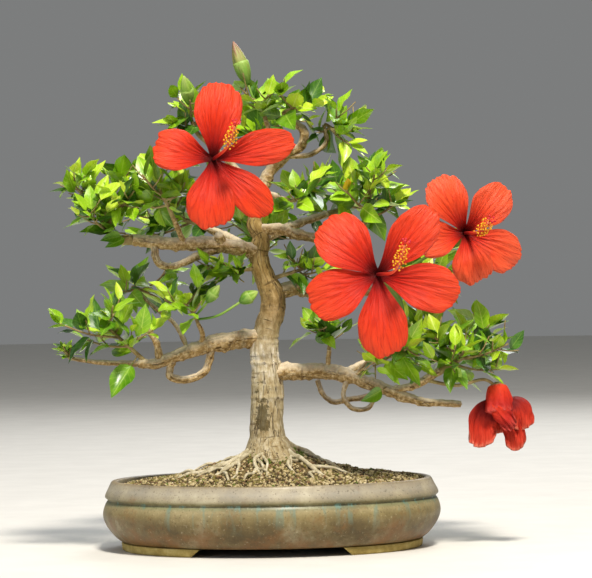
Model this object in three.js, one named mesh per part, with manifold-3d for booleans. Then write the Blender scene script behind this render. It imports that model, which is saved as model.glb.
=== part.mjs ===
import * as THREE from 'three';
import { mergeVertices } from 'three/addons/utils/BufferGeometryUtils.js';
import Module from 'manifold-3d';

// Hibiscus bonsai in an oval pot, in millimetres, +Z up, front towards -Y
const CLEARANCE = 0.3;

// Oval pot
const POT_OVAL = 0.78;
const POT_SEGMENTS = 32;
const POT_BELLY = 135;
const POT_GROOVE = 131.3;
const POT_RIM = 128;
const POT_RIM_INSIDE = 122.5;
const POT_HEIGHT = 55;
const POT_FLOOR = 6;
const FOOT_HEIGHT = 6.3;
const FOOT_OUTSIDE = 120.5;
const FOOT_INSIDE = 108;
const FOOT_OPENING = 118;
const FOOT_SLANT = 7;

// Soil mound
const SOIL_BASE = 50.5;
const SOIL_RISE = 41.5;
const SOIL_FALL = 47;
const SOIL_TILT = 0.012;
const SOIL_EDGE_DROP = 1.5;
const SOIL_RINGS = [0, 32, 56, 80, 104];
const SOIL_LUMP = 1.1;
const SOIL_LUMP_SPACING = 26;

// Trunk stations from the ground to the fork: x, y, z, radius
const TRUNK_SIDES = 10;
const TRUNK_STEPS = 20;
const TRUNK = [
  [-1, 0, 69, 28],
  [-2, 0, 78, 21.5],
  [-3, 0, 88, 15.4],
  [-3, 0, 100, 13.2],
  [-2.5, 1, 116, 12.8],
  [-2, 1, 130, 13],
  [-3.5, 0, 150, 11.4],
  [-4, -1, 161, 11.5],
  [-1.5, -1, 176, 10.2],
  [3, 0, 190, 10],
  [4, 1, 199, 9.7],
  [-1.5, 1, 213, 8.3],
  [-6, 0, 225, 8.1],
  [-7.5, 0, 236, 7.8],
  [-5.5, 0, 248, 6.4],
  [-10.3, 0, 258, 6.3],
  [-10, 0, 265, 5.3],
];

// Roots lying on the soil: x and y of three points, radius at the trunk and at the tip
const ROOT_SIDES = 4;
const ROOT_STEPS = 3;
const ROOTS = [
  { path: [[-14, -8], [-38, -19], [-76, -23]], radii: [4.4, 1.6] },
  { path: [[-14, -12], [-34, -28], [-44, -47]], radii: [3.6, 1.5] },
  { path: [[-4, -16], [-13, -31], [-8, -48]], radii: [3.2, 1.6] },
  { path: [[12, -10], [30, -32], [45, -50]], radii: [3.8, 1.6] },
  { path: [[14, 2], [28, 6], [46, 4]], radii: [3.8, 1.8] },
  { path: [[6, 14], [16, 30], [14, 50]], radii: [3.6, 1.6] },
  { path: [[-12, 12], [-28, 24], [-52, 30]], radii: [3.8, 1.6] },
];

// Limbs: path from the axis of the limb or trunk that carries it to its own tip, radius at both ends
const LIMBS = {
  leader: {
    path: [[-10, 0, 265], [-5, 3, 283], [4, 5, 302], [18, 0, 314.5]],
    radii: [5.3, 4.4],
  },
  lower_left_bough: {
    path: [
      [-4, 0, 166], [-24, -4, 166.5], [-49, -8, 162],
      [-72, -12, 155.5], [-89, -16, 148.5], [-104, -19, 148.5],
    ],
    radii: [8, 3.4],
  },
  lower_left_tip: {
    path: [[-100, -18, 148.5], [-122, -20, 149.5], [-140, -21.5, 151], [-154, -23, 153.5]],
    radii: [2.5, 1.5],
  },
  lower_left_shoot: {
    path: [[-64, -11, 157.5], [-75, 2, 179], [-92, 12, 193], [-104, 17, 204]],
    radii: [2, 1.3],
  },
  lower_left_loop: {
    path: [[-77, -13, 153], [-79, -14, 139], [-67, -13, 135.5], [-52, -10, 141], [-46, -8, 158]],
    radii: [3.4, 3],
  },
  lower_left_spur: {
    path: [[-54, -9, 161], [-53, -17, 172], [-56, -23, 180]],
    radii: [2.2, 1.5],
  },
  lower_right_bough: {
    path: [[-2, 0, 139.5], [25, -4, 140], [48, -8, 139.5], [66, -13, 135], [93, -18, 124.5],
      [120, -20, 115.5], [151, -22, 113]],
    radii: [7.4, 2.5],
  },
  lower_right_fork: {
    path: [[96, -18.5, 123.5], [116, -20, 129], [135, -22, 139]],
    radii: [3.7, 3],
  },
  lower_right_back_bough: {
    path: [[57, -10, 137.5], [82, 24, 147], [106, 46, 153]],
    radii: [3.7, 2.4],
  },
  lower_right_stub: {
    path: [[67, -13, 134.5], [80, -23, 148], [91, -31, 152]],
    radii: [2.8, 2.2],
  },
  lower_right_spur: {
    path: [[46, -8, 139.5], [47.5, -9, 157]],
    radii: [2.1, 1.7],
  },
  lower_right_loop: {
    path: [
      [92, -17.5, 125], [76, -14, 119.5], [60, -12.5, 117],
      [50, -12, 115.8], [42, -10, 122], [38, -8, 133],
    ],
    radii: [2.3, 2],
  },
  lower_right_hook: {
    path: [[62, -12, 134.5], [58.5, -20, 120], [65, -22, 111], [77, -21, 110.5], [83, -19, 118]],
    radii: [2.1, 1.6],
  },
  mid_left_bough: {
    path: [[-7, 0, 237], [-25, -7, 240], [-43, -12, 242.5], [-75, -18, 243.5], [-107, -22, 247]],
    radii: [6.2, 4.4],
  },
  mid_left_loop: {
    path: [[-30, -9, 241], [-54, -16, 234], [-76, -22, 225.5], [-87, -23, 229], [-90, -20.5, 244]],
    radii: [3.3, 2.8],
  },
  mid_left_spur: {
    path: [[-66, -16.5, 243.3], [-71, -29, 256], [-74, -36, 264]],
    radii: [2.5, 1.9],
  },
  back_left_bough: {
    path: [[-6, 0, 228], [-27, 34, 246], [-50, 58, 257]],
    radii: [4.4, 3],
  },
  mid_right_bough: {
    path: [[-8, 0, 254], [11, -3, 253.5], [23, -5, 249.5], [43, -3, 247], [61, 0, 252]],
    radii: [4.8, 3.5],
  },
  right_bough: {
    path: [[3, 0, 204], [22, 10, 206.5], [40, 19, 203.5], [74, 32, 203], [102, 37, 208]],
    radii: [6.2, 3],
  },
  back_right_bough: {
    path: [[-6, 0, 245], [18, 37, 257], [48, 62, 267]],
    radii: [4, 2.8],
  },
  centre_back_bough: {
    path: [[-5, 0, 219], [-7, 29, 230], [-6, 50, 238]],
    radii: [4, 2.6],
  },
  top_back_bough: {
    path: [[3, 4.6, 299.5], [0, 30, 314], [-5, 46, 325]],
    radii: [3.2, 2.2],
  },
  upper_left_bough: {
    path: [[-7, 2, 276], [-26, 22, 305], [-47, 18, 325]],
    radii: [3.4, 2.3],
  },
  apex_shoot: {
    path: [[8, 4, 306], [5, -1, 325], [0, -4, 341]],
    radii: [2.7, 1.8],
  },
  top_curl: {
    path: [[18, 0, 314.5], [27.5, -3, 320], [30, -5, 331], [18, -4, 343]],
    radii: [4.2, 2.9],
  },
  top_right_loop: {
    path: [[15, 1, 312], [36, -5, 313.5], [48, -4, 323], [47, -3, 333]],
    radii: [2.2, 1.5],
  },
  middle_spur: {
    path: [[-4, 3.4, 285], [8, -8, 280], [14, -13, 278]],
    radii: [2.3, 1.7],
  },
};

// Foliage masses: limb they sit on, middle and half-sizes of their space, number of twigs
const MASSES = {
  lower_left_leaves: {
    limb: 'lower_left_bough', from: [-97, -17.5, 149], middle: [-128, -30, 179],
    reach: [55, 48, 36], twigs: 5,
  },
  lower_left_back_leaves: {
    limb: 'lower_left_shoot', middle: [-102, 38, 207],
    reach: [50, 46, 34], twigs: 4,
  },
  lower_left_side_leaves: {
    limb: 'lower_left_spur', middle: [-66, -36, 196],
    reach: [33, 32, 36], twigs: 3,
  },
  mid_left_leaves: { limb: 'mid_left_bough', middle: [-126, -28, 281], reach: [47, 48, 40], twigs: 5 },
  mid_left_front_leaves: {
    limb: 'mid_left_spur', middle: [-84, -50, 286],
    reach: [36, 40, 46], twigs: 4,
  },
  upper_left_leaves: { limb: 'upper_left_bough', middle: [-62, 8, 350], reach: [29, 38, 37], twigs: 4 },
  apex_leaves: { limb: 'apex_shoot', middle: [-9, -6, 358], reach: [31, 32, 30], twigs: 3 },
  top_leaves: { limb: 'top_curl', middle: [24, -10, 350], reach: [34, 34, 33], twigs: 3 },
  top_right_leaves: { limb: 'top_right_loop', middle: [57, -6, 331], reach: [33, 36, 40], twigs: 4 },
  right_upper_leaves: {
    limb: 'mid_right_bough', middle: [82, -12, 284],
    reach: [41, 44, 37], twigs: 4,
  },
  middle_leaves: { limb: 'middle_spur', middle: [30, -25, 282], reach: [33, 35, 31], twigs: 3 },
  right_mid_leaves: { limb: 'right_bough', middle: [134, 38, 221], reach: [40, 48, 42], twigs: 4 },
  lower_right_leaves: {
    limb: 'lower_right_fork', middle: [158, -26, 153],
    reach: [52, 48, 42], twigs: 6,
  },
  lower_right_back_leaves: {
    limb: 'lower_right_back_bough', middle: [138, 68, 168],
    reach: [50, 48, 42], twigs: 4,
  },
  lower_right_inner_leaves: {
    limb: 'lower_right_stub', middle: [102, -46, 153],
    reach: [38, 34, 34], twigs: 4,
  },
  centre_right_leaves: {
    limb: 'trunk', from: [-2, 0, 213], middle: [32, -8, 223],
    reach: [29, 30, 26], twigs: 2,
  },
  centre_left_leaves: {
    limb: 'trunk', from: [-5, 0, 223], middle: [-40, -14, 221],
    reach: [30, 30, 24], twigs: 2,
  },
  lower_right_spur_leaves: {
    limb: 'lower_right_spur', middle: [44, -8, 170],
    reach: [34, 31, 24], twigs: 2,
  },
  back_left_leaves: { limb: 'back_left_bough', middle: [-84, 80, 268], reach: [56, 48, 48], twigs: 5 },
  back_right_leaves: { limb: 'back_right_bough', middle: [70, 84, 283], reach: [54, 48, 47], twigs: 5 },
  centre_back_leaves: {
    limb: 'centre_back_bough', middle: [-6, 76, 252],
    reach: [44, 48, 44], twigs: 4,
  },
  top_back_leaves: { limb: 'top_back_bough', middle: [-8, 68, 344], reach: [52, 48, 44], twigs: 5 },
  lower_left_tip_leaves: {
    limb: 'lower_left_tip', middle: [-161, -25, 160],
    reach: [14, 14, 12], twigs: 1, size: 0.45,
  },
};

// Growth rule shared by all masses
const GOLDEN_ANGLE = Math.PI * (3 - Math.sqrt(5));
const LEAF_SPACING = 5.8;
const LEAF_LENGTH = 30;
const LEAF_WIDTH = 0.66;
const LEAF_RIDGE = 1.8;
const LEAF_ROOT = 0.6;
const TWIG_RADII = [1.6, 1.4];
const STEM_TIP_RADIUS = 1.6;

// Flower buds: mass they grow in, path of the stalk from the stem's side, length and radius of the bud
const BUDS = [
  { mass: 'apex_leaves', path: [[-6, -5, 352], [-11, -5, 362], [-14, -5, 371]], length: 35, radius: 5.6 },
  {
    mass: 'lower_left_side_leaves',
    path: [[-58, -27, 186], [-50, -38, 194], [-47, -40, 198]],
    length: 16,
    radius: 4,
  },
  {
    mass: 'lower_left_side_leaves',
    path: [[-57, -25, 183], [-40, -34, 186], [-21, -34, 197]],
    length: 15,
    radius: 4.6,
  },
  {
    mass: 'upper_left_leaves',
    path: [[-60, 9, 342], [-60, 2, 350], [-61, -2, 356]],
    length: 25,
    radius: 4.6,
  },
];

// Lone leaves that hang below their mass: foot, tip and the side they face
const LONE_LEAVES = [
  { mass: 'lower_left_leaves', foot: [-104, -20.5, 155.7], tip: [-125, -39, 124], facing: [0, -1, 0.3] },
];

// Open flowers: middle, stalk, lean towards the viewer per mm sideways and upwards,
// offsets of the stamen column's bend and tip, and five petals as angle in degrees, length and width
const PETAL_THICKNESS = 1.2;
const PETAL_STEPS = 3;
const LOBE_STEPS = 2;
const PETAL_CLAW = 0.14;
const PETAL_COLUMNS = 4;
const THROAT_DEPTH = 22;
const FLOWERS = {
  top_flower: {
    middle: [-41, -76, 308],
    stalk: [[-7, 1.6, 277], [-26, -26, 291], [-41, -48, 302]],
    lean: [-0.16, -0.2],
    column: [[13, -22, 9], [18.5, -31, 22.5]],
    petals: [[83, 61, 38], [12, 64, 29], [-45, 61, 29], [-93, 55, 39], [166, 46, 34]],
  },
  right_flower: {
    middle: [85, -96, 216],
    stalk: [[112, -19.8, 127.5], [116, -40, 158], [101, -62, 196]],
    lean: [0.14, -0.16],
    column: [[13, -23, 4], [19.5, -32, 21.5]],
    petals: [[135, 59, 43], [48, 65, 35], [-15, 63, 38], [-86, 64, 39], [-157, 57, 39]],
  },
  far_right_flower: {
    middle: [156, -46, 248],
    stalk: [[92, 35.5, 205.5], [120, 2, 226], [150, -20, 242]],
    lean: [-0.22, -0.1],
    column: [[10, -17, 1], [16, -26, 7.5]],
    petals: [[117, 50, 34], [46, 48, 32], [-28, 47, 34], [-80, 41, 33], [191, 38, 30]],
  },
};

// Spent flower hanging at the lower right: stalk, and lobes of the trumpet with three points of the
// middle line from the stalk's end, width, the side they face and the rise of their edges
const SPENT = {
  stalk: [[124, -20.6, 132], [148, -31, 128], [170, -26, 132], [180, -22, 126]],
  trumpet: [[0, 0, 1], [0, -1, -6], [0.5, -2, -11]],
  lobes: [
    {
      line: [[0, 3, -2], [1, 8, -22], [-2, 6, -42]],
      width: 32, facing: [0, -1, 0], cup: 0.3,
    },
    {
      line: [[-3, 0, -2], [-13, 0, -24], [-15, -3, -48]],
      width: 25, facing: [0.3, -1, 0.1], cup: 0.45,
    },
    {
      line: [[3, -1, -2], [14, -4, -16], [18, -4, -34]],
      width: 22, facing: [0.35, -1, 0.3], cup: -0.3,
    },
    {
      line: [[2, -3, -3], [9, -10, -28], [12, -8, -52]],
      width: 20, facing: [0.15, -1, 0], cup: -0.3,
    },
    {
      line: [[-2, -4, -3], [-1, -12, -20], [10, -13, -36]],
      width: 17, facing: [-0.35, -1, -0.1], cup: -0.35,
    },
  ],
};

// Colours seen in the photo
const FINISHES = {
  glaze: { color: 0x9c8f68, roughness: 0.55 },
  clay: { color: 0xae9852, roughness: 0.9 },
  soil: { color: 0x8f7750, roughness: 0.95 },
  bark: { color: 0xae9c80, roughness: 0.9 },
  leaf: { color: 0x4f8a1e, roughness: 0.45 },
  petal: { color: 0xe32d14, roughness: 0.55 },
  spent: { color: 0xa81c1c, roughness: 0.6 },
};

const wasm = await Module();
wasm.setup();

// Turns a closed geometry into a solid, dropping faces that have shrunk to a line
function solid(geometry) {
  geometry.deleteAttribute('normal');
  geometry.deleteAttribute('uv');
  const merged = mergeVertices(geometry, 1e-4);
  const index = merged.index.array;
  const kept = [];
  for (let i = 0; i < index.length; i += 3) {
    const [a, b, c] = [index[i], index[i + 1], index[i + 2]];
    if (a !== b && b !== c && c !== a) {
      kept.push(a, b, c);
    }
  }
  return new wasm.Manifold(new wasm.Mesh({
    numProp: 3,
    vertProperties: Float32Array.from(merged.attributes.position.array),
    triVerts: Uint32Array.from(kept),
  }));
}

// Moves each vertex of a geometry to the place a function gives for it
function remap(geometry, place) {
  const position = geometry.attributes.position;
  const point = new THREE.Vector3();
  for (let i = 0; i < position.count; i += 1) {
    point.fromBufferAttribute(position, i);
    place(point);
    position.setXYZ(i, point.x, point.y, point.z);
  }
  return geometry;
}

// Cuts the widened neighbours out of a piece and keeps what is left of it in one
function seated(piece, neighbours) {
  return largest(neighbours.reduce((left, neighbour) => left.subtract(neighbour), piece));
}

// Keeps the largest connected piece of a cut solid
function largest(piece) {
  const pieces = piece.decompose();
  return pieces.reduce((best, next) => (next.volume() > best.volume() ? next : best));
}

function vector(coordinates) {
  return new THREE.Vector3(...coordinates);
}

function curveThrough(points) {
  return new THREE.CatmullRomCurve3(points.map(vector), false, 'centripetal');
}

// Round limb along a curve; `grow` widens it all round, to cut the seat of a neighbour
function tube(curve, radiusAt, sides, steps, grow = 0) {
  const frames = curve.computeFrenetFrames(steps, false);
  const geometry = new THREE.CylinderGeometry(1, 1, 1, sides, steps, true);
  const last = steps * (sides + 1);
  const index = Array.from(geometry.index.array);
  for (let i = 1; i < sides - 1; i += 1) {
    index.push(0, i, i + 1, last, last + i + 1, last + i);
  }
  geometry.setIndex(index);
  remap(geometry, (p) => {
    const step = Math.round((p.y + 0.5) * steps);
    const along = step / steps;
    const centre = curve.getPointAt(along);
    const tangent = frames.tangents[step];
    const radius = radiusAt(along) + grow;
    const end = step === 0 ? -grow : grow * Math.floor(along);
    const across = frames.normals[step].clone().multiplyScalar(p.x * radius);
    const over = frames.binormals[step].clone().multiplyScalar(-p.z * radius);
    p.copy(centre).add(across).add(over).addScaledVector(tangent, end);
  });
  return solid(geometry);
}

function taper(radii) {
  return (along) => radii[0] + (radii[1] - radii[0]) * along ** 1.2;
}

// Random numbers from a seed, the same each time
function seededRandom(seed) {
  let state = seed;
  return () => {
    state = (state + 0x6D2B79F5) | 0;
    let mixed = Math.imul(state ^ (state >>> 15), 1 | state);
    mixed = (mixed + Math.imul(mixed ^ (mixed >>> 7), 61 | mixed)) ^ mixed;
    return ((mixed ^ (mixed >>> 14)) >>> 0) / 4294967296;
  };
}

// Turned shape, drawn out to the pot's oval
function oval(profile, segments, place = () => {}) {
  const points = profile.map(([radius, height]) => new THREE.Vector2(radius, height));
  const geometry = new THREE.LatheGeometry(points, segments);
  remap(geometry, (p) => {
    p.set(p.x, -p.z * POT_OVAL, p.y);
    place(p);
  });
  return solid(geometry);
}

function buildPot() {
  return oval([
    [0, FOOT_HEIGHT + CLEARANCE],
    [FOOT_OUTSIDE - 1, FOOT_HEIGHT + CLEARANCE],
    [POT_BELLY - 7, 14],
    [POT_BELLY, 28],
    [POT_GROOVE + 1, 38.6],
    [POT_GROOVE, 40],
    [POT_GROOVE + 2.2, 42],
    [POT_RIM + 2.6, 48.5],
    [POT_RIM, POT_HEIGHT - 0.8],
    [POT_RIM - 1, POT_HEIGHT],
    [POT_RIM_INSIDE, POT_HEIGHT],
    [POT_BELLY - 9, 30],
    [POT_BELLY - 24, FOOT_HEIGHT + CLEARANCE + POT_FLOOR],
    [0, FOOT_HEIGHT + CLEARANCE + POT_FLOOR],
  ], POT_SEGMENTS);
}

// One foot wraps round each end of the pot; its ends slope away from the opening
function buildFoot(side) {
  const ring = oval([
    [FOOT_INSIDE, 0],
    [FOOT_OUTSIDE - 0.8, 0],
    [FOOT_OUTSIDE, FOOT_HEIGHT],
    [FOOT_INSIDE, FOOT_HEIGHT],
    [FOOT_INSIDE, 0],
  ], POT_SEGMENTS);
  const block = new THREE.BoxGeometry(2 * POT_BELLY, 2 * POT_BELLY, 2 * FOOT_HEIGHT);
  remap(block, (p) => {
    const open = FOOT_OPENING / 2 + (p.z < 0 ? FOOT_SLANT : -FOOT_SLANT);
    p.x = p.x * side > 0 ? p.x * 2 : side * open;
    p.z += FOOT_HEIGHT / 2;
  });
  return ring.intersect(solid(block));
}

// Mound round the trunk, with heaps and dips of grit at an even spacing
function soilHeight(x, y) {
  const out = Math.hypot(x, y / POT_OVAL);
  const edge = SOIL_EDGE_DROP * THREE.MathUtils.smoothstep(out, 108, POT_RIM_INSIDE);
  const turn = Math.PI / SOIL_LUMP_SPACING;
  const lump = SOIL_LUMP * Math.sin(turn * x + 0.6) * Math.sin(turn * y + 0.9);
  return SOIL_BASE + SOIL_RISE * Math.exp(-out / SOIL_FALL) + SOIL_TILT * x - edge + lump;
}

function buildSoil() {
  const bottom = FOOT_HEIGHT + 2 * CLEARANCE + POT_FLOOR;
  const slack = CLEARANCE * 2;
  const profile = [
    [0, bottom],
    [POT_BELLY - 24 - slack, bottom],
    [POT_BELLY - 9 - slack, 30],
    [POT_RIM_INSIDE - slack, POT_HEIGHT],
  ];
  const top = SOIL_RINGS.map((radius) => [radius, POT_HEIGHT]).reverse();
  return oval([...profile, ...top], POT_SEGMENTS, (p) => {
    if (p.z > POT_HEIGHT - 1) {
      p.z = soilHeight(p.x, p.y);
    }
  });
}

function rootCurve(root) {
  const lift = root.radii[1] * 0.35;
  return curveThrough(root.path.map(([x, y]) => [x, y, soilHeight(x, y) + lift]));
}

function buildTrunk(grow = 0) {
  const curve = curveThrough(TRUNK);
  const lengths = TRUNK.map((station, i) => (i === 0 ? 0 : vector(station).distanceTo(vector(TRUNK[i - 1]))));
  const total = lengths.reduce((sum, length) => sum + length, 0);
  const radiusAt = (along) => {
    let left = along * total;
    let i = 1;
    while (i < TRUNK.length - 1 && left > lengths[i]) {
      left -= lengths[i];
      i += 1;
    }
    const share = Math.min(left / lengths[i], 1);
    return TRUNK[i - 1][3] + (TRUNK[i][3] - TRUNK[i - 1][3]) * share;
  };
  let trunk = tube(curve, radiusAt, TRUNK_SIDES, TRUNK_STEPS, grow);
  for (const root of ROOTS) {
    trunk = trunk.add(tube(rootCurve(root), taper(root.radii), ROOT_SIDES, ROOT_STEPS, grow));
  }
  return largest(trunk);
}

function limbCurve(name) {
  return curveThrough(LIMBS[name].path);
}

// A limb is thick and many-sided where its root is thick
function buildLimb(name, grow = 0) {
  const { radii, path } = LIMBS[name];
  const sides = radii[0] > 4.5 ? 7 : 4 + Math.round(radii[0] / 4);
  return tube(limbCurve(name), taper(radii), sides, path.length, grow);
}

// Leaf of four faces: a ridge from its foot to its tip, with a shoulder below it on either side
function buildLeaf(leaf, margin = 0) {
  const { base, along, across, upward, length } = leaf;
  const half = length * LEAF_WIDTH * 0.5 + margin;
  const shoulder = -LEAF_RIDGE - 2 * margin;
  const place = (u, v, w) => base.clone()
    .addScaledVector(along, u)
    .addScaledVector(across, v)
    .addScaledVector(upward, w);
  const corners = [
    place(-LEAF_ROOT - margin, 0, 0.3 + margin),
    place(length * 0.46, half, shoulder),
    place(length * 0.46, -half, shoulder),
    place(length + margin, 0, margin - length * 0.05),
  ];
  const faces = [0, 3, 1, 0, 2, 3, 1, 3, 2, 0, 1, 2];
  const geometry = new THREE.BufferGeometry();
  const flat = corners.flatMap((corner) => corner.toArray());
  geometry.setAttribute('position', new THREE.Float32BufferAttribute(flat, 3));
  geometry.setIndex(faces);
  return solid(geometry);
}

// Lone leaf between its given foot and tip
function buildLoneLeaf({ foot, tip, facing }) {
  const base = vector(foot);
  const along = vector(tip).sub(base);
  const length = along.length();
  along.normalize();
  const across = vector(facing).cross(along).normalize();
  const upward = along.clone().cross(across);
  return buildLeaf({ base, along, across, upward, length });
}

// Leaf size of a mass as a part of the rule's
function leafSize(mass) {
  return mass.size ?? 1;
}

// Whether a point lies in the space of a mass
function within(mass, point) {
  const offset = point.clone().sub(vector(mass.middle)).divide(vector(mass.reach));
  return offset.length() <= 1.06;
}

// Stem of a mass: on from its limb's tip, then up to the middle of its space
function stemCurve(mass) {
  const middle = vector(mass.middle);
  if (mass.from) {
    const start = vector(mass.from);
    return curveThrough([start.toArray(), start.clone().lerp(middle, 0.6).toArray(), mass.middle]);
  }
  const limb = limbCurve(mass.limb);
  const tip = limb.getPointAt(1);
  const heading = limb.getTangentAt(1);
  const distance = tip.distanceTo(middle);
  const bend = tip.clone().addScaledVector(heading, distance * 0.4);
  return curveThrough([tip.toArray(), bend.toArray(), mass.middle]);
}

// Twigs leave the stem from its end downwards; their tips are spread evenly over the mass's space
function twigLine(mass, stem, number, random) {
  const share = (number + 0.5) / mass.twigs;
  const rise = 0.92 - 1.55 * share;
  const turn = number * GOLDEN_ANGLE + mass.seed + 0.5 * random();
  const flat = Math.sqrt(1 - rise * rise);
  const room = vector(mass.reach);
  const aim = vector(mass.middle);
  const shrink = (size) => Math.max(size - LEAF_LENGTH * leafSize(mass) * 0.5, size * 0.35);
  aim.x += shrink(room.x) * flat * Math.cos(turn);
  aim.y += shrink(room.y) * flat * Math.sin(turn);
  aim.z += shrink(room.z) * rise;
  return new THREE.LineCurve3(stem.getPointAt(1 - 0.62 * share), aim);
}

// Leaves stand round a twig at the golden angle, larger and wider spread towards its foot
function leafOn(twig, number, count, phase, size, random) {
  const share = number / (count - 1);
  const place = 0.3 + 0.7 * share;
  const tangent = twig.getTangentAt(place);
  const turn = phase + number * GOLDEN_ANGLE + 0.4 * random();
  const spread = 1.3 - 0.85 * share;
  const side = new THREE.Vector3(0, 0, 1).cross(tangent).normalize();
  const over = tangent.clone().cross(side);
  const along = tangent.clone().multiplyScalar(Math.cos(spread))
    .addScaledVector(side, Math.sin(spread) * Math.cos(turn))
    .addScaledVector(over, Math.sin(spread) * Math.sin(turn));
  along.z += 0.12;
  along.normalize();
  const facing = tangent.clone().multiplyScalar(0.6).add(new THREE.Vector3(0, -0.15, 0.8));
  const across = facing.cross(along).normalize();
  const upward = along.clone().cross(across);
  const length = LEAF_LENGTH * size * (1.1 - 0.45 * share) * (0.82 + 0.3 * random());
  return { base: twig.getPointAt(Math.min(place, 0.97)), along, across, upward, length };
}

// Bud: a pointed egg on its stalk
function buildBud(bud) {
  const stalk = curveThrough(bud.path);
  const end = stalk.getPointAt(1);
  const heading = stalk.getTangentAt(1);
  const tip = end.clone().addScaledVector(heading, bud.length);
  const axis = curveThrough([end.clone().addScaledVector(heading, -1).toArray(), tip.toArray()]);
  const swell = (along) => 0.6 + bud.radius * Math.sin(Math.PI * along ** 0.75) ** 0.8;
  const body = tube(axis, swell, 5, 4);
  return tube(stalk, () => 1, 4, 2).add(body);
}

// Grows a mass: twigs and leaves that leave its space, or touch what stands already, are skipped
function buildMass(name, standing, seats) {
  const mass = MASSES[name];
  const random = seededRandom(mass.seed);
  const size = leafSize(mass);
  const stem = stemCurve(mass);
  const foot = mass.from ? 2 : LIMBS[mass.limb].radii[1];
  const apart = (piece, others) => others.every((other) => piece.intersect(other).isEmpty());
  const shoots = [{ line: stem, wood: seated(tube(stem, taper([foot, STEM_TIP_RADIUS]), 3, 2), seats) }];
  for (let i = 0; i < mass.twigs; i += 1) {
    const line = twigLine(mass, stem, i, random);
    if (apart(tube(line, taper(TWIG_RADII), 3, 1, CLEARANCE), standing)) {
      shoots.push({ line, wood: tube(line, taper(TWIG_RADII), 3, 1) });
    }
  }
  const grown = shoots.map((shoot) => shoot.wood);
  grown.push(...BUDS.filter((bud) => bud.mass === name).map(buildBud));
  grown.push(...LONE_LEAVES.filter((leaf) => leaf.mass === name).map(buildLoneLeaf));
  for (const { line, wood } of shoots) {
    const count = Math.max(4, Math.round((0.7 * line.getLength()) / (LEAF_SPACING * size)));
    const phase = 2 * Math.PI * random();
    for (let j = 0; j < count; j += 1) {
      const leaf = leafOn(line, j, count, phase, size, random);
      const tip = leaf.base.clone().addScaledVector(leaf.along, leaf.length);
      const blade = buildLeaf(leaf);
      const others = grown.filter((other) => other !== wood);
      if (within(mass, tip) && apart(blade, others) && apart(buildLeaf(leaf, CLEARANCE), standing)) {
        grown.push(blade);
      }
    }
  }
  return largest(grown.reduce((sum, piece) => sum.add(piece)));
}

// Petal: a narrow claw in the funnel, then a round blade that rolls back at its end
function buildPetal(flower, [degrees, reach, width]) {
  const angle = THREE.MathUtils.degToRad(degrees);
  const middle = vector(flower.middle);
  const geometry = new THREE.BoxGeometry(2, 1, 2, PETAL_COLUMNS, PETAL_STEPS, 1);
  remap(geometry, (p) => {
    const arc = 0.5 * Math.PI * p.x;
    const t = Math.sin(arc);
    const s = p.y + 0.5;
    const skin = p.z * PETAL_THICKNESS * 0.5;
    const out = reach * s * (0.69 + 0.31 * Math.cos(arc));
    const swell = Math.sin(0.5 * Math.PI * Math.min(s / 0.86, 1) ** 1.25);
    const half = 0.5 * width * (PETAL_CLAW + (1 - PETAL_CLAW) * swell);
    const funnel = -THROAT_DEPTH * (1 - s) ** 3 - 7 * s ** 4;
    const x = out * Math.cos(angle) - t * half * Math.sin(angle);
    const z = out * Math.sin(angle) + t * half * Math.cos(angle);
    const forward = funnel + 3 * t * s + flower.lean[0] * x + flower.lean[1] * z - skin;
    p.set(middle.x + x, middle.y - forward, middle.z + z);
  });
  return solid(geometry);
}

// Stamen column: thin at the throat, thick where the anthers stand
function buildColumn(flower) {
  const middle = vector(flower.middle);
  const foot = middle.clone();
  foot.y += THROAT_DEPTH - 2;
  const [bend, tip] = flower.column.map((offset) => middle.clone().add(vector(offset)));
  const curve = curveThrough([foot.toArray(), bend.toArray(), tip.toArray()]);
  const outer = (along) => THREE.MathUtils.clamp((along - 0.58) / 0.4, 0, 1);
  return tube(curve, (along) => 1.6 + 3.4 * Math.sin(Math.PI * outer(along)), 5, 7);
}

// Calyx: a cup behind the throat, on the stalk
function buildCalyx(flower) {
  const foot = vector(flower.stalk[flower.stalk.length - 1]);
  const throat = vector(flower.middle);
  throat.y += THROAT_DEPTH - 2;
  const curve = curveThrough([foot.toArray(), throat.toArray()]);
  return tube(curve, (along) => 2 + 3.4 * along, 6, 2);
}

function buildFlower(flower, seats) {
  let bloom = seated(tube(curveThrough(flower.stalk), taper([1.5, 1.2]), 4, 4), seats);
  bloom = bloom.add(buildCalyx(flower));
  bloom = bloom.add(buildColumn(flower));
  for (const petal of flower.petals) {
    bloom = bloom.add(buildPetal(flower, petal));
  }
  return largest(bloom);
}

// Lobe of the spent flower: a round-ended sheet along its line, its edges raised or turned back
function buildLobe(end, { line, width, facing, cup }) {
  const curve = curveThrough(line.map((point) => vector(point).add(end).toArray()));
  const geometry = new THREE.BoxGeometry(2, 1, 2, PETAL_COLUMNS, LOBE_STEPS, 1);
  remap(geometry, (p) => {
    const arc = 0.5 * Math.PI * p.x;
    const t = Math.sin(arc);
    const s = p.y + 0.5;
    const share = s * (0.72 + 0.28 * Math.cos(arc));
    const half = 0.5 * width * (0.3 + 0.7 * Math.sin(0.5 * Math.PI * Math.min(s / 0.7, 1)));
    const tangent = curve.getTangentAt(share);
    const across = tangent.clone().cross(vector(facing)).normalize();
    const out = across.clone().cross(tangent);
    const rise = cup * t * t * half + p.z * PETAL_THICKNESS * 0.5;
    p.copy(curve.getPointAt(share)).addScaledVector(across, t * half).addScaledVector(out, rise);
  });
  return solid(geometry);
}

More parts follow.
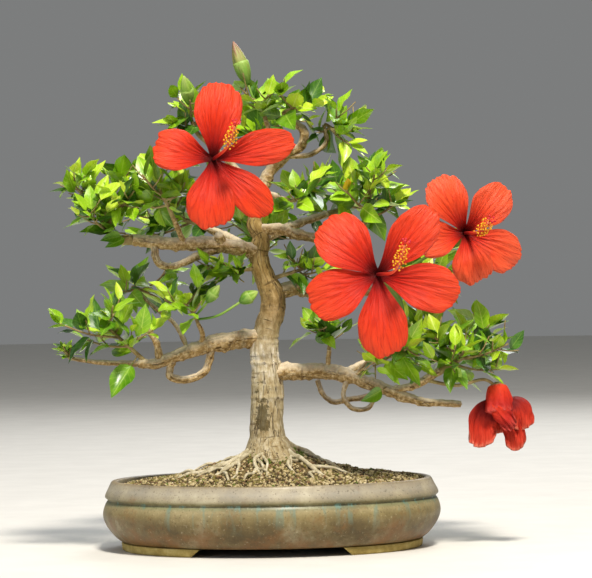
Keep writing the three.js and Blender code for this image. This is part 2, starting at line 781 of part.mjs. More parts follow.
// Spent flower: a short trumpet on its stalk, with lobes that hang from it
function buildSpentFlower(seats) {
  const stalk = curveThrough(SPENT.stalk);
  const end = stalk.getPointAt(1);
  let bloom = seated(tube(stalk, taper([1.5, 1.2]), 4, 6), seats);
  const axis = curveThrough(SPENT.trumpet.map((point) => vector(point).add(end).toArray()));
  bloom = bloom.add(tube(axis, (along) => 3 + 5 * along ** 0.55, 6, 2));
  for (const lobe of SPENT.lobes) {
    bloom = bloom.add(buildLobe(end, lobe));
  }
  return largest(bloom);
}

function meshOf(name, shape, finish) {
  const { vertProperties, triVerts } = shape.getMesh();
  const geometry = new THREE.BufferGeometry();
  geometry.setAttribute('position', new THREE.Float32BufferAttribute(vertProperties, 3));
  geometry.setIndex(Array.from(triVerts));
  geometry.computeVertexNormals();
  const material = new THREE.MeshStandardMaterial({ ...FINISHES[finish], metalness: 0 });
  material.name = finish;
  const mesh = new THREE.Mesh(geometry, material);
  mesh.name = name;
  return mesh;
}

const plant = new THREE.Group();
plant.name = 'hibiscus_bonsai';

plant.add(meshOf('pot', buildPot(), 'glaze'));
plant.add(meshOf('pot_foot_left', buildFoot(-1), 'clay'));
plant.add(meshOf('pot_foot_right', buildFoot(1), 'clay'));
plant.add(meshOf('soil', buildSoil().subtract(buildTrunk(CLEARANCE)), 'soil'));

// Limbs are seated on those before them; each keeps a widened copy to seat what grows on it
const trunk = buildTrunk();
const seats = [buildTrunk(CLEARANCE)];
const standing = [trunk];
plant.add(meshOf('trunk', trunk, 'bark'));
for (const name of Object.keys(LIMBS)) {
  const limb = seated(buildLimb(name), seats);
  seats.push(buildLimb(name, CLEARANCE));
  standing.push(limb);
  plant.add(meshOf(name, limb, 'bark'));
}

for (const [name, flower] of Object.entries(FLOWERS)) {
  const bloom = buildFlower(flower, seats);
  standing.push(bloom);
  plant.add(meshOf(name, bloom, 'petal'));
}
const spent = buildSpentFlower(seats);
standing.push(spent);
plant.add(meshOf('spent_flower', spent, 'spent'));

Object.keys(MASSES).forEach((name, number) => {
  MASSES[name].seed = 11 + 7 * number;
  const leaves = buildMass(name, standing, seats);
  standing.push(leaves);
  plant.add(meshOf(name, leaves, 'leaf'));
});

// The origin is under the middle of the whole plant
const box = new THREE.Box3().setFromObject(plant);
const centre = box.getCenter(new THREE.Vector3());
for (const mesh of plant.children) {
  mesh.geometry.translate(-centre.x, -centre.y, -box.min.z);
}

export default plant;
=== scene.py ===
"""Looks of a flowering hibiscus trained as a small tree, in an oval glazed pot.

Shapes are worked out in millimetres from the middle of the pot at table height, with the front
towards -Y. They move to the part's own frame, in metres, when they become meshes.
"""

import logging
import math
from collections.abc import Callable, Iterator, Mapping, Sequence
from dataclasses import dataclass
from enum import Enum

import bpy
import numpy as np
from numpy.typing import NDArray
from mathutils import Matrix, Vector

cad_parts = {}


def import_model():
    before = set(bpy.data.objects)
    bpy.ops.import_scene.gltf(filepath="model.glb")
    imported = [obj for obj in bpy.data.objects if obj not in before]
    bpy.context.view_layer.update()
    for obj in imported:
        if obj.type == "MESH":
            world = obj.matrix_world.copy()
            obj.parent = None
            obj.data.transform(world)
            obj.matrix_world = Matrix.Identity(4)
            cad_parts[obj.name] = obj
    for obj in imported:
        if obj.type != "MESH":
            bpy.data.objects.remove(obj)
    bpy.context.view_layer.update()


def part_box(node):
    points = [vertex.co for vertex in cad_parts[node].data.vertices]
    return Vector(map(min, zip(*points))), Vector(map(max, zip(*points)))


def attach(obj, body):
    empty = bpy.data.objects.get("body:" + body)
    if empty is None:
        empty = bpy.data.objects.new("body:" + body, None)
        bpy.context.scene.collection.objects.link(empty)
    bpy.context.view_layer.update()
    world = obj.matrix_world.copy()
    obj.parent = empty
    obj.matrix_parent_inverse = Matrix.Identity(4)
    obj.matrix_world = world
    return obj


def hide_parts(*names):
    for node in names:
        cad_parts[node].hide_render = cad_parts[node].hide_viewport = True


LOG = logging.getLogger("hibiscus_bonsai")
Array = NDArray[np.float64]
IntArray = NDArray[np.int64]
Point = tuple[float, ...]
Points = tuple[Point, ...]
Stops = tuple[tuple[float, str], ...]
Rule = Callable[[Array], Array]
Relief = Callable[[Array, Array, Array], Array]
Pattern = tuple[bpy.types.NodeSocket, bpy.types.NodeSocket]
GOLDEN_ANGLE = math.pi * (3 - math.sqrt(5))
METRE = 0.001
UP = np.array([0.0, 0.0, 1.0])
CELL_PRIMES = np.array([73856093, 19349663, 83492791])
WORD = 0xFFFFFFFF
HEADING_STEP = 0.004
TAPER_POWER = 1.2
DOME = 0.45


class Slot(Enum):
    """Material slots of the part's record."""

    GLAZE = "glaze"
    CLAY = "clay"
    SOIL = "soil"
    BARK = "bark"
    LEAF = "leaf"
    PETAL = "petal"
    SPENT = "spent"


class Tint(Enum):
    """Ages of leaf, which differ in colour, and a darker tint that is painted shade."""

    YOUNG = "young"
    FRESH = "fresh"
    GROWN = "grown"
    FADED = "yellowed"
    SHADED = "shaded"


# Arithmetic on whole arrays


def unit(vectors: Array) -> Array:
    """Return vectors divided by their lengths."""
    return vectors / np.maximum(np.linalg.norm(vectors, axis=-1, keepdims=True), 1e-12)


def smooth_step(values: Array, low: float, high: float) -> Array:
    """Return 0 below low, 1 above high and the cubic 3t^2 - 2t^3 between."""
    share = np.clip((values - low) / (high - low), 0, 1)
    return share * share * (3 - 2 * share)


def full_turn(count: int) -> Array:
    """Return evenly spaced angles round a circle."""
    return np.linspace(0, 2 * np.pi, count, endpoint=False)


def to_points(*axes: Array | float) -> Array:
    """Return points from their coordinates, spread over one grid."""
    return np.stack(np.broadcast_arrays(*axes), axis=-1)


def value_noise(points: Array, seed: int) -> Array:
    """Give a smooth random field from -1 to 1.

    Each corner of a unit cell has a random value; inside the cell the eight values are blended by
    3t^2 - 2t^3 along each axis.

    Args:
        points: Places, three numbers each, in cells.
        seed: Number that picks the field.

    Returns:
        One value for each place.
    """
    cell = np.floor(points).astype(np.int64)
    inside = points - cell
    blend = inside * inside * (3 - 2 * inside)
    total = np.zeros(points.shape[:-1])
    for corner in np.indices((2, 2, 2)).reshape(3, -1).T:
        key = (cell + corner) * CELL_PRIMES
        mixed = key[..., 0] ^ key[..., 1] ^ key[..., 2] ^ (seed * 40503)
        mixed = ((mixed ^ (mixed >> 13)) * 1274126177) & WORD
        value = ((mixed ^ (mixed >> 16)) & 0xFFFF) / 32767.5 - 1
        total += value * np.prod(np.where(corner == 1, blend, 1 - blend), axis=-1)
    return total


def seeded(seed: int) -> Iterator[float]:
    """Yield random numbers from 0 to 1, the same row each time for one seed.

    Args:
        seed: Start of the row, as in the part's growth rule.

    Yields:
        The next number.
    """
    state = seed
    while True:
        state = (state + 0x6D2B79F5) & WORD
        mixed = ((state ^ (state >> 15)) * (1 | state)) & WORD
        mixed = ((mixed + (((mixed ^ (mixed >> 7)) * (61 | mixed)) & WORD)) & WORD) ^ mixed
        yield (mixed ^ (mixed >> 14)) / (WORD + 1)


class Path:
    """Smooth line through points: a centripetal Catmull-Rom curve measured by its own length."""

    def __init__(self, points: Sequence[Point] | Array, fine: int = 40) -> None:
        """Sample the curve.

        Args:
            points: Three numbers for each point that the line passes.
            fine: Samples between two points.
        """
        knots = np.asarray(points, float)[:, :3]
        guides = np.vstack([2 * knots[0] - knots[1], knots, 2 * knots[-1] - knots[-2]])
        spans = [self._span(guides[i : i + 4], fine) for i in range(len(knots) - 1)]
        self.line = np.vstack([*spans, knots[-1:]])
        steps = np.linalg.norm(np.diff(self.line, axis=0), axis=1)
        self.reached = np.concatenate([[0.0], np.cumsum(steps)])

    @staticmethod
    def _span(guides: Array, fine: int) -> Array:
        """Blend four guide points in three rounds, by the square roots of their distances.

        Args:
            guides: The points before, at both ends of and after the span.
            fine: Number of samples.

        Returns:
            Points from the span's start up to just before its end.
        """
        gaps = np.sqrt(np.linalg.norm(np.diff(guides, axis=0), axis=1))
        k0, k1, k2, k3 = np.concatenate([[0.0], np.cumsum(gaps)])
        t = np.linspace(k1, k2, fine, endpoint=False)[:, None]
        a1 = (guides[0] * (k1 - t) + guides[1] * (t - k0)) / (k1 - k0)
        a2 = (guides[1] * (k2 - t) + guides[2] * (t - k1)) / (k2 - k1)
        a3 = (guides[2] * (k3 - t) + guides[3] * (t - k2)) / (k3 - k2)
        b1 = (a1 * (k2 - t) + a2 * (t - k0)) / (k2 - k0)
        b2 = (a2 * (k3 - t) + a3 * (t - k1)) / (k3 - k1)
        return (b1 * (k2 - t) + b2 * (t - k1)) / (k2 - k1)

    @property
    def length(self) -> float:
        """Return the line's length in millimetres."""
        return float(self.reached[-1])

    def at(self, share: Array | float) -> Array:
        """Return the points at shares of the line's length."""
        way = np.asarray(share, float) * self.length
        return np.stack([np.interp(way, self.reached, self.line[:, k]) for k in range(3)], axis=-1)

    def heading(self, share: Array | float) -> Array:
        """Return unit directions at shares of the line's length."""
        ahead = np.minimum(np.asarray(share, float) + HEADING_STEP, 1)
        behind = np.maximum(np.asarray(share, float) - HEADING_STEP, 0)
        return unit(self.at(ahead) - self.at(behind))


@dataclass
class Surface:
    """Mesh data in millimetres; a face of three corners has -1 as its fourth.

    The grain of a limb gives each point's place across and along it, for fibres that follow it.
    """

    points: Array
    faces: IntArray
    uv: Array
    grain: Array | None = None

    @staticmethod
    def from_grid(
        grid: Array, closed: bool = True, pole_start: bool = True, pole_end: bool = True
    ) -> "Surface":
        """Join a grid of points into faces.

        Args:
            grid: Points in rows along the shape and columns round or across it.
            closed: Whether the last column joins the first.
            pole_start: Whether the first row is a single point.
            pole_end: Whether the last row is a single point.

        Returns:
            The surface, with U across the columns and V along the rows.
        """
        rows, columns = grid.shape[:2]
        index = np.arange(rows * columns).reshape(rows, columns)
        if pole_start:
            index[0] = 0
        if pole_end:
            index[-1] = index[-1, 0]
        wide = np.column_stack([index, index[:, :1]]) if closed else index
        across = wide.shape[1] - 1
        spots = np.stack(
            np.meshgrid(np.linspace(0, 1, across + 1), np.linspace(0, 1, rows)), axis=-1
        )
        windows = [
            (slice(i, i + rows - 1), slice(j, j + across))
            for i, j in ((0, 0), (0, 1), (1, 1), (1, 0))
        ]
        faces = np.stack([wide[window] for window in windows], axis=-1).reshape(-1, 4)
        uv = np.stack([spots[window] for window in windows], axis=2).reshape(-1, 4, 2)
        if pole_start:
            faces[:across, :3] = faces[:across][:, [0, 2, 3]]
            faces[:across, 3] = -1
            uv[:across, :3] = uv[:across][:, [0, 2, 3]]
        if pole_end:
            faces[-across:, 3] = -1
        return Surface(grid.reshape(-1, 3), faces, uv)

    @staticmethod
    def sheet(grid: Array, back: Array) -> "Surface":
        """Close an open grid into a thin sheet with a back and a rim.

        Args:
            grid: Points of the sheet's front, in rows and columns.
            back: Points of its back, in the same order.

        Returns:
            The closed sheet.
        """
        front = Surface.from_grid(grid, closed=False, pole_start=False, pole_end=False)
        size = len(front.points)
        index = np.arange(size).reshape(grid.shape[:2])
        rim = np.concatenate([index[0], index[1:, -1], index[-1, -2::-1], index[-2:0:-1, 0]])
        ahead = np.roll(rim, -1)
        strip = np.column_stack([rim, rim + size, ahead + size, ahead])
        spot = np.zeros((size, 2))
        spot[front.faces.reshape(-1)] = front.uv.reshape(-1, 2)
        rim_uv = np.stack([spot[rim], spot[rim], spot[ahead], spot[ahead]], axis=1)
        return Surface(
            np.vstack([front.points, back.reshape(-1, 3)]),
            np.vstack([front.faces, front.faces[:, ::-1] + size, strip]),
            np.concatenate([front.uv, front.uv[:, ::-1], rim_uv]),
        )

    @staticmethod
    def join(parts: Sequence["Surface"]) -> "Surface":
        """Return all the parts as one surface."""
        starts = np.cumsum([0] + [len(part.points) for part in parts[:-1]])
        faces = [np.where(p.faces < 0, -1, p.faces + start) for p, start in zip(parts, starts)]
        grains = [p.grain for p in parts if p.grain is not None]
        return Surface(
            np.vstack([p.points for p in parts]),
            np.vstack(faces),
            np.concatenate([p.uv for p in parts]),
            np.vstack(grains) if len(grains) == len(parts) else None,
        )

    @staticmethod
    def copies(template: "Surface", places: Array) -> "Surface":
        """Repeat a template.

        Args:
            template: Surface whose faces and UV are repeated.
            places: Points of each copy: copies, then points, then three numbers.

        Returns:
            All copies as one surface.
        """
        count, size = places.shape[:2]
        starts = (np.arange(count) * size)[:, None, None]
        faces = np.where(template.faces[None] < 0, -1, template.faces[None] + starts)
        uv = np.broadcast_to(template.uv, (count, *template.uv.shape))
        return Surface(places.reshape(-1, 3), faces.reshape(-1, 4), uv.reshape(-1, 4, 2))


def rings(path: Path, shares: Array) -> tuple[Array, Array, Array]:
    """Carry a cross-section's axes along a path without twisting them.

    Args:
        path: Middle line.
        shares: Places of the rings along it.

    Returns:
        Middles of the rings and the two directions across each.
    """
    middles = path.at(shares)
    ahead = path.heading(shares)
    side = unit(np.cross(ahead[0], np.eye(3)[np.argmin(np.abs(ahead[0]))]))
    sides = np.zeros_like(middles)
    for number, direction in enumerate(ahead):
        side = unit(side - direction * np.dot(side, direction))
        sides[number] = side
    return middles, sides, np.cross(ahead, sides)


def tube(
    path: Path,
    radius: Rule,
    sides: int,
    steps: int,
    relief: Relief | None = None,
    dome: float = DOME,
) -> Surface:
    """Carry a circle along a path, with domed ends.

    A ring's points are middle + radius * (cos a * side + sin a * over); relief is added to the
    radius. The ring before each end shrinks to nothing, so the ends are closed.

    Args:
        path: Middle line.
        radius: Radius in millimetres at shares of the line's length.
        sides: Points round a ring.
        steps: Rings along the line.
        relief: Added height in millimetres for smooth points, shares and angles.
        dome: Height of the ends as a part of their radius.

    Returns:
        The closed tube.
    """
    shares = np.linspace(0, 1, steps + 1)
    middles, side, over = rings(path, shares)
    angles = full_turn(sides)
    outward = np.cos(angles)[:, None] * side[:, None] + np.sin(angles)[:, None] * over[:, None]
    wide = radius(shares)[:, None] * np.ones(sides)
    if relief is not None:
        smooth = middles[:, None] + wide[..., None] * outward
        wide = wide + relief(smooth, shares[:, None] * np.ones(sides), angles * np.ones_like(wide))
    grid = middles[:, None] + wide[..., None] * outward
    ends = path.heading(np.array([0.0, 1.0]))
    foot = middles[0] - dome * wide[0].mean() * ends[0]
    tip = middles[-1] + dome * wide[-1].mean() * ends[1]
    grid = np.concatenate([np.tile(foot, (1, sides, 1)), grid, np.tile(tip, (1, sides, 1))])
    way = shares[:, None] * path.length
    grain = to_points(wide * np.cos(angles), wide * np.sin(angles), way)
    made = Surface.from_grid(grid)
    made.grain = np.concatenate([grain[:1] * UP, grain, grain[-1:] * UP]).reshape(-1, 3)
    return made


def taper(start: float, end: float) -> Rule:
    """Return the radius rule of a limb: from start to end by the share to the power 1.2."""
    return lambda share: start + (end - start) * share**TAPER_POWER


def grain_template() -> Surface:
    """Return a six-sided grain: two rings between two poles, on a unit ball."""
    lift = np.array([-1, -0.45, 0.45, 1])[:, None]
    wide = np.sqrt(1 - np.minimum(lift**2, 1))
    turn = full_turn(6)
    return Surface.from_grid(to_points(wide * np.cos(turn), wide * np.sin(turn), lift))


class Bench:
    """Turns surfaces into finished objects in the part's frame."""

    def __init__(self, middle: Array) -> None:
        """Keep the place of the pot's middle, in metres."""
        self.middle = middle

    def place(
        self,
        name: str,
        surface: Surface,
        material: bpy.types.Material,
        slot: Slot,
        nodes: Sequence[str],
    ) -> None:
        """Make a piece that stands for nodes of the part.

        Args:
            name: Piece name.
            surface: Its shape in millimetres.
            material: Its finish.
            slot: Slot of the record that the finish belongs to; not used.
            nodes: Nodes that it stands for.
        """
        piece = self.shape(name, surface.points * METRE + self.middle, surface, material)
        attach(piece, "root")
        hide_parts(*nodes)
        triangles = np.sum(surface.faces >= 0) - 2 * len(surface.faces)
        LOG.info("%s: %d triangles", name, triangles)

    @staticmethod
    def shape(
        name: str, points: Array, surface: Surface, material: bpy.types.Material
    ) -> bpy.types.Object:
        """Put arrays into a smooth-shaded mesh object.

        Args:
            name: Object name.
            points: Places in metres.
            surface: Faces, UV and grain.
            material: Finish.

        Returns:
            The object, linked into the scene.
        """
        mesh = bpy.data.meshes.new(name)
        used = surface.faces >= 0
        sizes = used.sum(axis=1)
        mesh.vertices.add(len(points))
        mesh.vertices.foreach_set("co", np.ascontiguousarray(points, np.float32).ravel())
        mesh.loops.add(int(sizes.sum()))
        mesh.loops.foreach_set("vertex_index", surface.faces[used].astype(np.int32))
        mesh.polygons.add(len(sizes))
        starts = np.concatenate([[0], np.cumsum(sizes)[:-1]])
        mesh.polygons.foreach_set("loop_start", starts.astype(np.int32))
        mesh.polygons.foreach_set("use_smooth", np.ones(len(sizes), bool))
        layer = mesh.uv_layers.new(name="UVMap")
        layer.data.foreach_set("uv", surface.uv[used].astype(np.float32).ravel())
        if surface.grain is not None:
            layer = mesh.attributes.new("grain", "FLOAT_VECTOR", "POINT")
            layer.data.foreach_set("vector", (surface.grain * METRE).astype(np.float32).ravel())
        mesh.update(calc_edges=True)
        mesh.validate()
        mesh.materials.append(material)
        made = bpy.data.objects.new(name, mesh)
        bpy.context.scene.collection.objects.link(made)
        return made


# Finishes


def to_linear(colour: str) -> Point:
    """Turn an sRGB hex colour into linear values.

    Args:
        colour: A hash sign and six hex digits.

    Returns:
        Linear red, green and blue, and an alpha of one.
    """
    parts = [int(colour[i : i + 2], 16) / 255 for i in (1, 3, 5)]
    linear = [p / 12.92 if p <= 0.04045 else ((p + 0.055) / 1.055) ** 2.4 for p in parts]
    return (*linear, 1.0)


def per_size(size: float) -> float:
    """Return the pattern scale that gives features of a size in millimetres."""
    return 1 / (size * METRE)


@dataclass
class Graph:
    """The nodes of one material."""

    tree: bpy.types.NodeTree

    def add(
        self,
        kind: str,
        inputs: Mapping[str | int, object] | Sequence[object] = (),
        out: str | int = 0,
        stops: Stops = (),
        **settings: object,
    ) -> bpy.types.NodeSocket:
        """Add a node.

        Args:
            kind: Type of the node, without the prefix that all types share.
            inputs: Constants or feeding outputs, by the names of the inputs or in their order.
            out: Output that is handed back.
            stops: Places and colours of its ramp, where it has one.
            settings: Properties of the node.

        Returns:
            The output.
        """
        made = self.tree.nodes.new("ShaderNode" + kind)
        for name, value in settings.items():
            setattr(made, name, value)
        for number, (place, colour) in enumerate(stops):
            ramp = made.color_ramp.elements
            stop = ramp[number] if number < len(ramp) else ramp.new(place)
            stop.position, stop.color = place, to_linear(colour)
        pairs = inputs.items() if isinstance(inputs, Mapping) else enumerate(inputs)
        for name, value in pairs:
            if isinstance(value, bpy.types.NodeSocket):
                self.tree.links.new(value, made.inputs[name])
            else:
                made.inputs[name].default_value = value
        return made.outputs[out]


@dataclass(frozen=True)
class Finish:
    """A surface: constants of its shader, and a pattern that subclasses draw."""

    title: str
    roughness: float = 0.6
    ior: float = 1.45
    coat: float = 0.0
    coat_roughness: float = 0.25
    relief: float = 0.3
    relief_depth: float = 0.5

    def pattern(self, graph: Graph) -> Pattern:
        """Draw the pattern.

        Args:
            graph: Graph that gets the nodes.

        Returns:
            Outputs of the colour and of the relief's height.
        """
        raise NotImplementedError

    def build(self) -> bpy.types.Material:
        """Return the finished material."""
        material = bpy.data.materials.new(self.title)
        material.use_nodes = True
        tree = material.node_tree
        tree.nodes.remove(tree.nodes["Principled BSDF"])
        graph = Graph(tree)
        colour, height = self.pattern(graph)
        depth = self.relief_depth * METRE
        bump = graph.add("Bump", {"Strength": self.relief, "Distance": depth, "Height": height})
        shader = graph.add(
            "BsdfPrincipled",
            {
                "Base Color": colour,
                "Roughness": self.roughness,
                "IOR": self.ior,
                "Coat Weight": self.coat,
                "Coat Roughness": self.coat_roughness,
                "Normal": bump,
            },
        )
        tree.links.new(shader, tree.nodes["Material Output"].inputs["Surface"])
        return material


@dataclass(frozen=True)
class StonewareGlaze(Finish):
    """Matt ash glaze on stoneware: mottled olive beige, paler above the groove, with runs below."""

    title: str = "matt_ash_glaze"
    roughness: float = 0.5
    coat: float = 0.12
    relief: float = 0.25
    relief_depth: float = 0.4
    height: float = 56.0
    clouds: Stops = ((0.34, "#2A200A"), (0.46, "#5C4C28"), (0.56, "#84744C"), (0.68, "#B4AA88"))
    # Brown foot, olive belly, dark groove at 40 mm, pale lip
    bands: Stops = (
        (0.12, "#42300F"), (0.3, "#584822"), (0.45, "#6A5A32"), (0.56, "#8A7C52"),
        (0.64, "#AA9E74"), (0.695, "#7C8866"), (0.715, "#36422A"), (0.745, "#7E7A56"),
        (0.8, "#AAA38E"), (0.88, "#C0BAAA"), (0.95, "#B6AE9C"), (1.0, "#7A6440"),
    )
    band_share: float = 0.55
    run_fade: Stops = ((0.3, "#000000"), (0.66, "#C8C8C8"), (0.72, "#FFFFFF"), (0.75, "#000000"))
    run: str = "#5F8278"
    rust: str = "#7E5526"
    salt: str = "#CFC6A6"
    pit: str = "#4A3A1C"

    def pattern(self, graph: Graph) -> Pattern:
        """Lay mottling, height bands, green runs, rust and specks over each other.

        Args:
            graph: Graph that gets the nodes.

        Returns:
            Outputs of the colour and of the relief's height.
        """
        place = graph.add("TexCoord", out="Object")
        # Clouds of about 30 mm in the glaze, with finer grain inside them
        cloud = graph.add(
            "TexNoise", {"Vector": place, "Scale": per_size(30), "Detail": 9.0, "Roughness": 0.68}
        )
        body = graph.add("ValToRGB", (cloud,), stops=self.clouds)
        lift = graph.add("SeparateXYZ", (place,), "Z")
        height = graph.add("MapRange", (lift, 0.0, self.height * METRE))
        bands = graph.add("ValToRGB", (height,), stops=self.bands)
        ground = graph.add("Mix", {0: self.band_share, 6: body, 7: bands}, 2, data_type="RGBA")
        # Runs about 5 mm wide that start in the groove and fade 23 mm below it
        drawn = graph.add("Mapping", {"Vector": place, "Scale": (1.0, 1.0, 0.07)})
        streak = graph.add("TexNoise", {"Vector": drawn, "Scale": per_size(5), "Detail": 4.0})
        wet = graph.add("MapRange", (streak, 0.55, 0.66))
        fade = graph.add("ValToRGB", (height,), stops=self.run_fade)
        runs = graph.add("Math", (wet, fade), operation="MULTIPLY")
        # Rusty patches of about 24 mm, most of them low on the belly
        iron = graph.add(
            "TexNoise",
            {"Vector": place, "W": 3.0, "Scale": per_size(24), "Detail": 7.0, "Roughness": 0.72},
            noise_dimensions="4D",
        )
        low = graph.add("MapRange", (height, 0.75, 0.2, 0.0, 0.16))
        rusted = graph.add("Math", (iron, low), operation="ADD")
        rusty = graph.add("MapRange", (rusted, 0.58, 0.74, 0.0, 0.7))
        # Pale salt specks and dark pits of 1 to 2 mm
        speck = graph.add("TexNoise", {"Vector": place, "Scale": per_size(1.7), "Detail": 3.0})
        specks = graph.add("MapRange", (speck, 0.63, 0.75, 0.0, 0.3))
        pits = graph.add("MapRange", (speck, 0.4, 0.3, 0.0, 0.55))
        coats = ((runs, self.run), (rusty, self.rust), (specks, self.salt), (pits, self.pit))
        for share, colour in coats:
            layer = {0: share, 6: ground, 7: to_linear(colour)}
            ground = graph.add("Mix", layer, 2, data_type="RGBA")
        return ground, cloud


@dataclass(frozen=True)
class Mottled(Finish):
    """Matter whose colour wanders between three tones in patches of one size, with finer grit."""

    tones: tuple[str, str, str] = ("#808080", "#A0A0A0", "#C0C0C0")
    patch: float = 3.0
    stretch: Point = (1.0, 1.0, 1.0)

    def pattern(self, graph: Graph) -> Pattern:
        """Colour a noise of the patch size by a ramp of the three tones.

        Args:
            graph: Graph that gets the nodes.

        Returns:
            Outputs of the colour and of the relief's height.
        """
        place = graph.add("TexCoord", out="Object")
        drawn = graph.add("Mapping", {"Vector": place, "Scale": self.stretch})
        size = per_size(self.patch)
        cloud = graph.add(
            "TexNoise", {"Vector": drawn, "Scale": size, "Detail": 8.0, "Roughness": 0.65}
        )
        stops = tuple(zip((0.32, 0.5, 0.68), self.tones))
        return graph.add("ValToRGB", (cloud,), stops=stops), cloud


@dataclass(frozen=True)
class HibiscusBark(Mottled):
    """Rough bark: pale patches, fibres and fine cracks along the limb, a few scars across it."""

    title: str = "pale_hibiscus_bark"
    roughness: float = 0.88
    relief: float = 0.9
    relief_depth: float = 0.9
    tones: tuple[str, str, str] = ("#A8946E", "#D2C6AA", "#F2ECE2")
    patch: float = 3.2
    stretch: Point = (1.0, 1.0, 0.45)
    stain: str = "#6B6248"
    stain_share: float = 0.56
    moss: str = "#4E4620"
    moss_place: Point = (0.0, 0.0, -200.0)
    moss_size: Point = (5.0, 8.0, 17.0)
    crack: str = "#523A16"
    weathering: Stops = ()
    weathered_length: float = 200.0
    # Colour and strength of a painted highlight on upper sides
    top_highlight: str = "#DED2BA"
    top_highlight_share: float = 0.0

    def pattern(self, graph: Graph) -> Pattern:
        """Add stains, moss, fibres, cracks, scars and weathering to the mottled ground, and a
        painted highlight on upper sides.

        Args:
            graph: Graph that gets the nodes.

        Returns:
            Outputs of the colour and of the relief's height.
        """
        ground, lumps = super().pattern(graph)
        place = graph.add("TexCoord", out="Object")
        wood = graph.add("Attribute", out="Vector", attribute_name="grain")
        # Stains of about 26 mm, and one ragged mossy patch at its place on the limb
        stain = graph.add(
            "TexNoise", {"Vector": place, "Scale": per_size(26), "Detail": 7.0, "Roughness": 0.72}
        )
        stained = graph.add("MapRange", (stain, self.stain_share, self.stain_share + 0.1, 0.0, 0.5))
        spot = tuple(part * METRE for part in self.moss_place)
        off = graph.add("VectorMath", (wood, spot), operation="SUBTRACT")
        scale = tuple(per_size(part) for part in self.moss_size)
        scaled = graph.add("VectorMath", (off, scale), operation="MULTIPLY")
        far = graph.add("VectorMath", (scaled,), "Value", operation="LENGTH")
        ragged = graph.add("Math", (stain, 10.0, far), operation="MULTIPLY_ADD")
        mossy = graph.add("MapRange", (ragged, 6.15, 5.9, 0.0, 0.8))
        # Fibres about 1.8 mm wide and 14 times as long
        drawn = graph.add("Mapping", {"Vector": wood, "Scale": (1.0, 1.0, 0.07)})
        fibre = graph.add(
            "TexNoise", {"Vector": drawn, "Scale": per_size(1.8), "Detail": 5.0, "Roughness": 0.65}
        )
        grooves = graph.add("MapRange", (fibre, 0.45, 0.35, 0.0, 0.42))
        # Cracks where a noise 6.5 mm wide and 14 times as long passes its middle value
        split = graph.add("TexNoise", {"Vector": drawn, "Scale": per_size(6.5), "Detail": 3.0})
        centred = graph.add("Math", (split, 0.5), operation="SUBTRACT")
        apart = graph.add("Math", (centred,), operation="ABSOLUTE")
        cracks = graph.add("MapRange", (apart, 0.0, 0.012, 0.9, 0.0))
        # Scars across the limb, about 3.4 mm high and 28 mm round
        turned = graph.add("Mapping", {"Vector": wood, "Scale": (0.12, 0.12, 1.0)})
        scar = graph.add("TexNoise", {"Vector": turned, "Scale": per_size(3.4), "Detail": 4.0})
        scars = graph.add("MapRange", (scar, 0.62, 0.69, 0.0, 0.6))
        lines = graph.add("Math", (cracks, scars), operation="MAXIMUM")
        coats = [(stained, self.stain), (mossy, self.moss), (grooves, self.tones[0])]
        for share, colour in [*coats, (lines, self.crack)]:
            layer = {0: share, 6: ground, 7: to_linear(colour)}
            ground = graph.add("Mix", layer, 2, data_type="RGBA")
        if self.weathering:
            # Tones that change with the distance from the foot
            way = graph.add("SeparateXYZ", (wood,), "Z")
            graded = graph.add("MapRange", (way, 0.0, self.weathered_length * METRE))
            tone = graph.add("ValToRGB", (graded,), stops=self.weathering)
            layer = {0: 1.0, 6: ground, 7: tone}
            ground = graph.add("Mix", layer, 2, data_type="RGBA", blend_type="MULTIPLY")
        # Upper sides lighter: a painted highlight of the light from above
        upward = graph.add("SeparateXYZ", (graph.add("NewGeometry", out="Normal"),), "Z")
        top_highlight_mask = graph.add("MapRange", (upward, -0.1, 0.75, 0.0, self.top_highlight_share))
        layer = {0: top_highlight_mask, 6: ground, 7: to_linear(self.top_highlight)}
        highlighted = graph.add("Mix", layer, 2, data_type="RGBA")
        rough = graph.add("Math", (fibre, 0.8, lumps), operation="MULTIPLY_ADD")
        return highlighted, graph.add("Math", (rough, lines), operation="SUBTRACT")


@dataclass(frozen=True)
class LeafSkin(Finish):
    """Glossy hibiscus leaf: a pale midrib and side veins on green, drawn on the leaf's own UV."""

    roughness: float = 0.33
    coat: float = 0.35
    relief: float = 0.35
    blade: str = "#5E9E1C"
    deep: str = "#3F7C18"
    vein: str = "#A9CC5A"
    vein_spacing: float = 0.125

    def pattern(self, graph: Graph) -> Pattern:
        """Draw veins where V less part of the distance from the midrib is a whole spacing.

        Args:
            graph: Graph that gets the nodes.

        Returns:
            Outputs of the colour and of the relief's height.
        """
        place = graph.add("TexCoord", out="Object")
        # Patches of about 14 mm between the two greens
        cloud = graph.add("TexNoise", {"Vector": place, "Scale": per_size(14), "Detail": 3.0})
        green = graph.add("ValToRGB", (cloud,), stops=((0.36, self.deep), (0.62, self.blade)))
        across = graph.add("SeparateXYZ", (place.node.outputs["UV"],), "X")
        offset = graph.add("Math", (across, 0.5), operation="SUBTRACT")
        side = graph.add("Math", (offset,), operation="ABSOLUTE")
        along = across.node.outputs["Y"]
        slant = graph.add("Math", (side, -0.42, along), operation="MULTIPLY_ADD")
        beat = graph.add("Math", (slant, self.vein_spacing / 2), operation="PINGPONG")
        ribs = graph.add("MapRange", (beat, 0.0, 0.014, 0.32, 0.0))
        midrib = graph.add("MapRange", (side, 0.0, 0.045, 0.75, 0.0))
        lines = graph.add("Math", (ribs, midrib), operation="MAXIMUM")
        layer = {0: lines, 6: green, 7: to_linear(self.vein)}
        veined = graph.add("Mix", layer, 2, data_type="RGBA")
        return veined, graph.add("Math", (cloud, lines), operation="SUBTRACT")


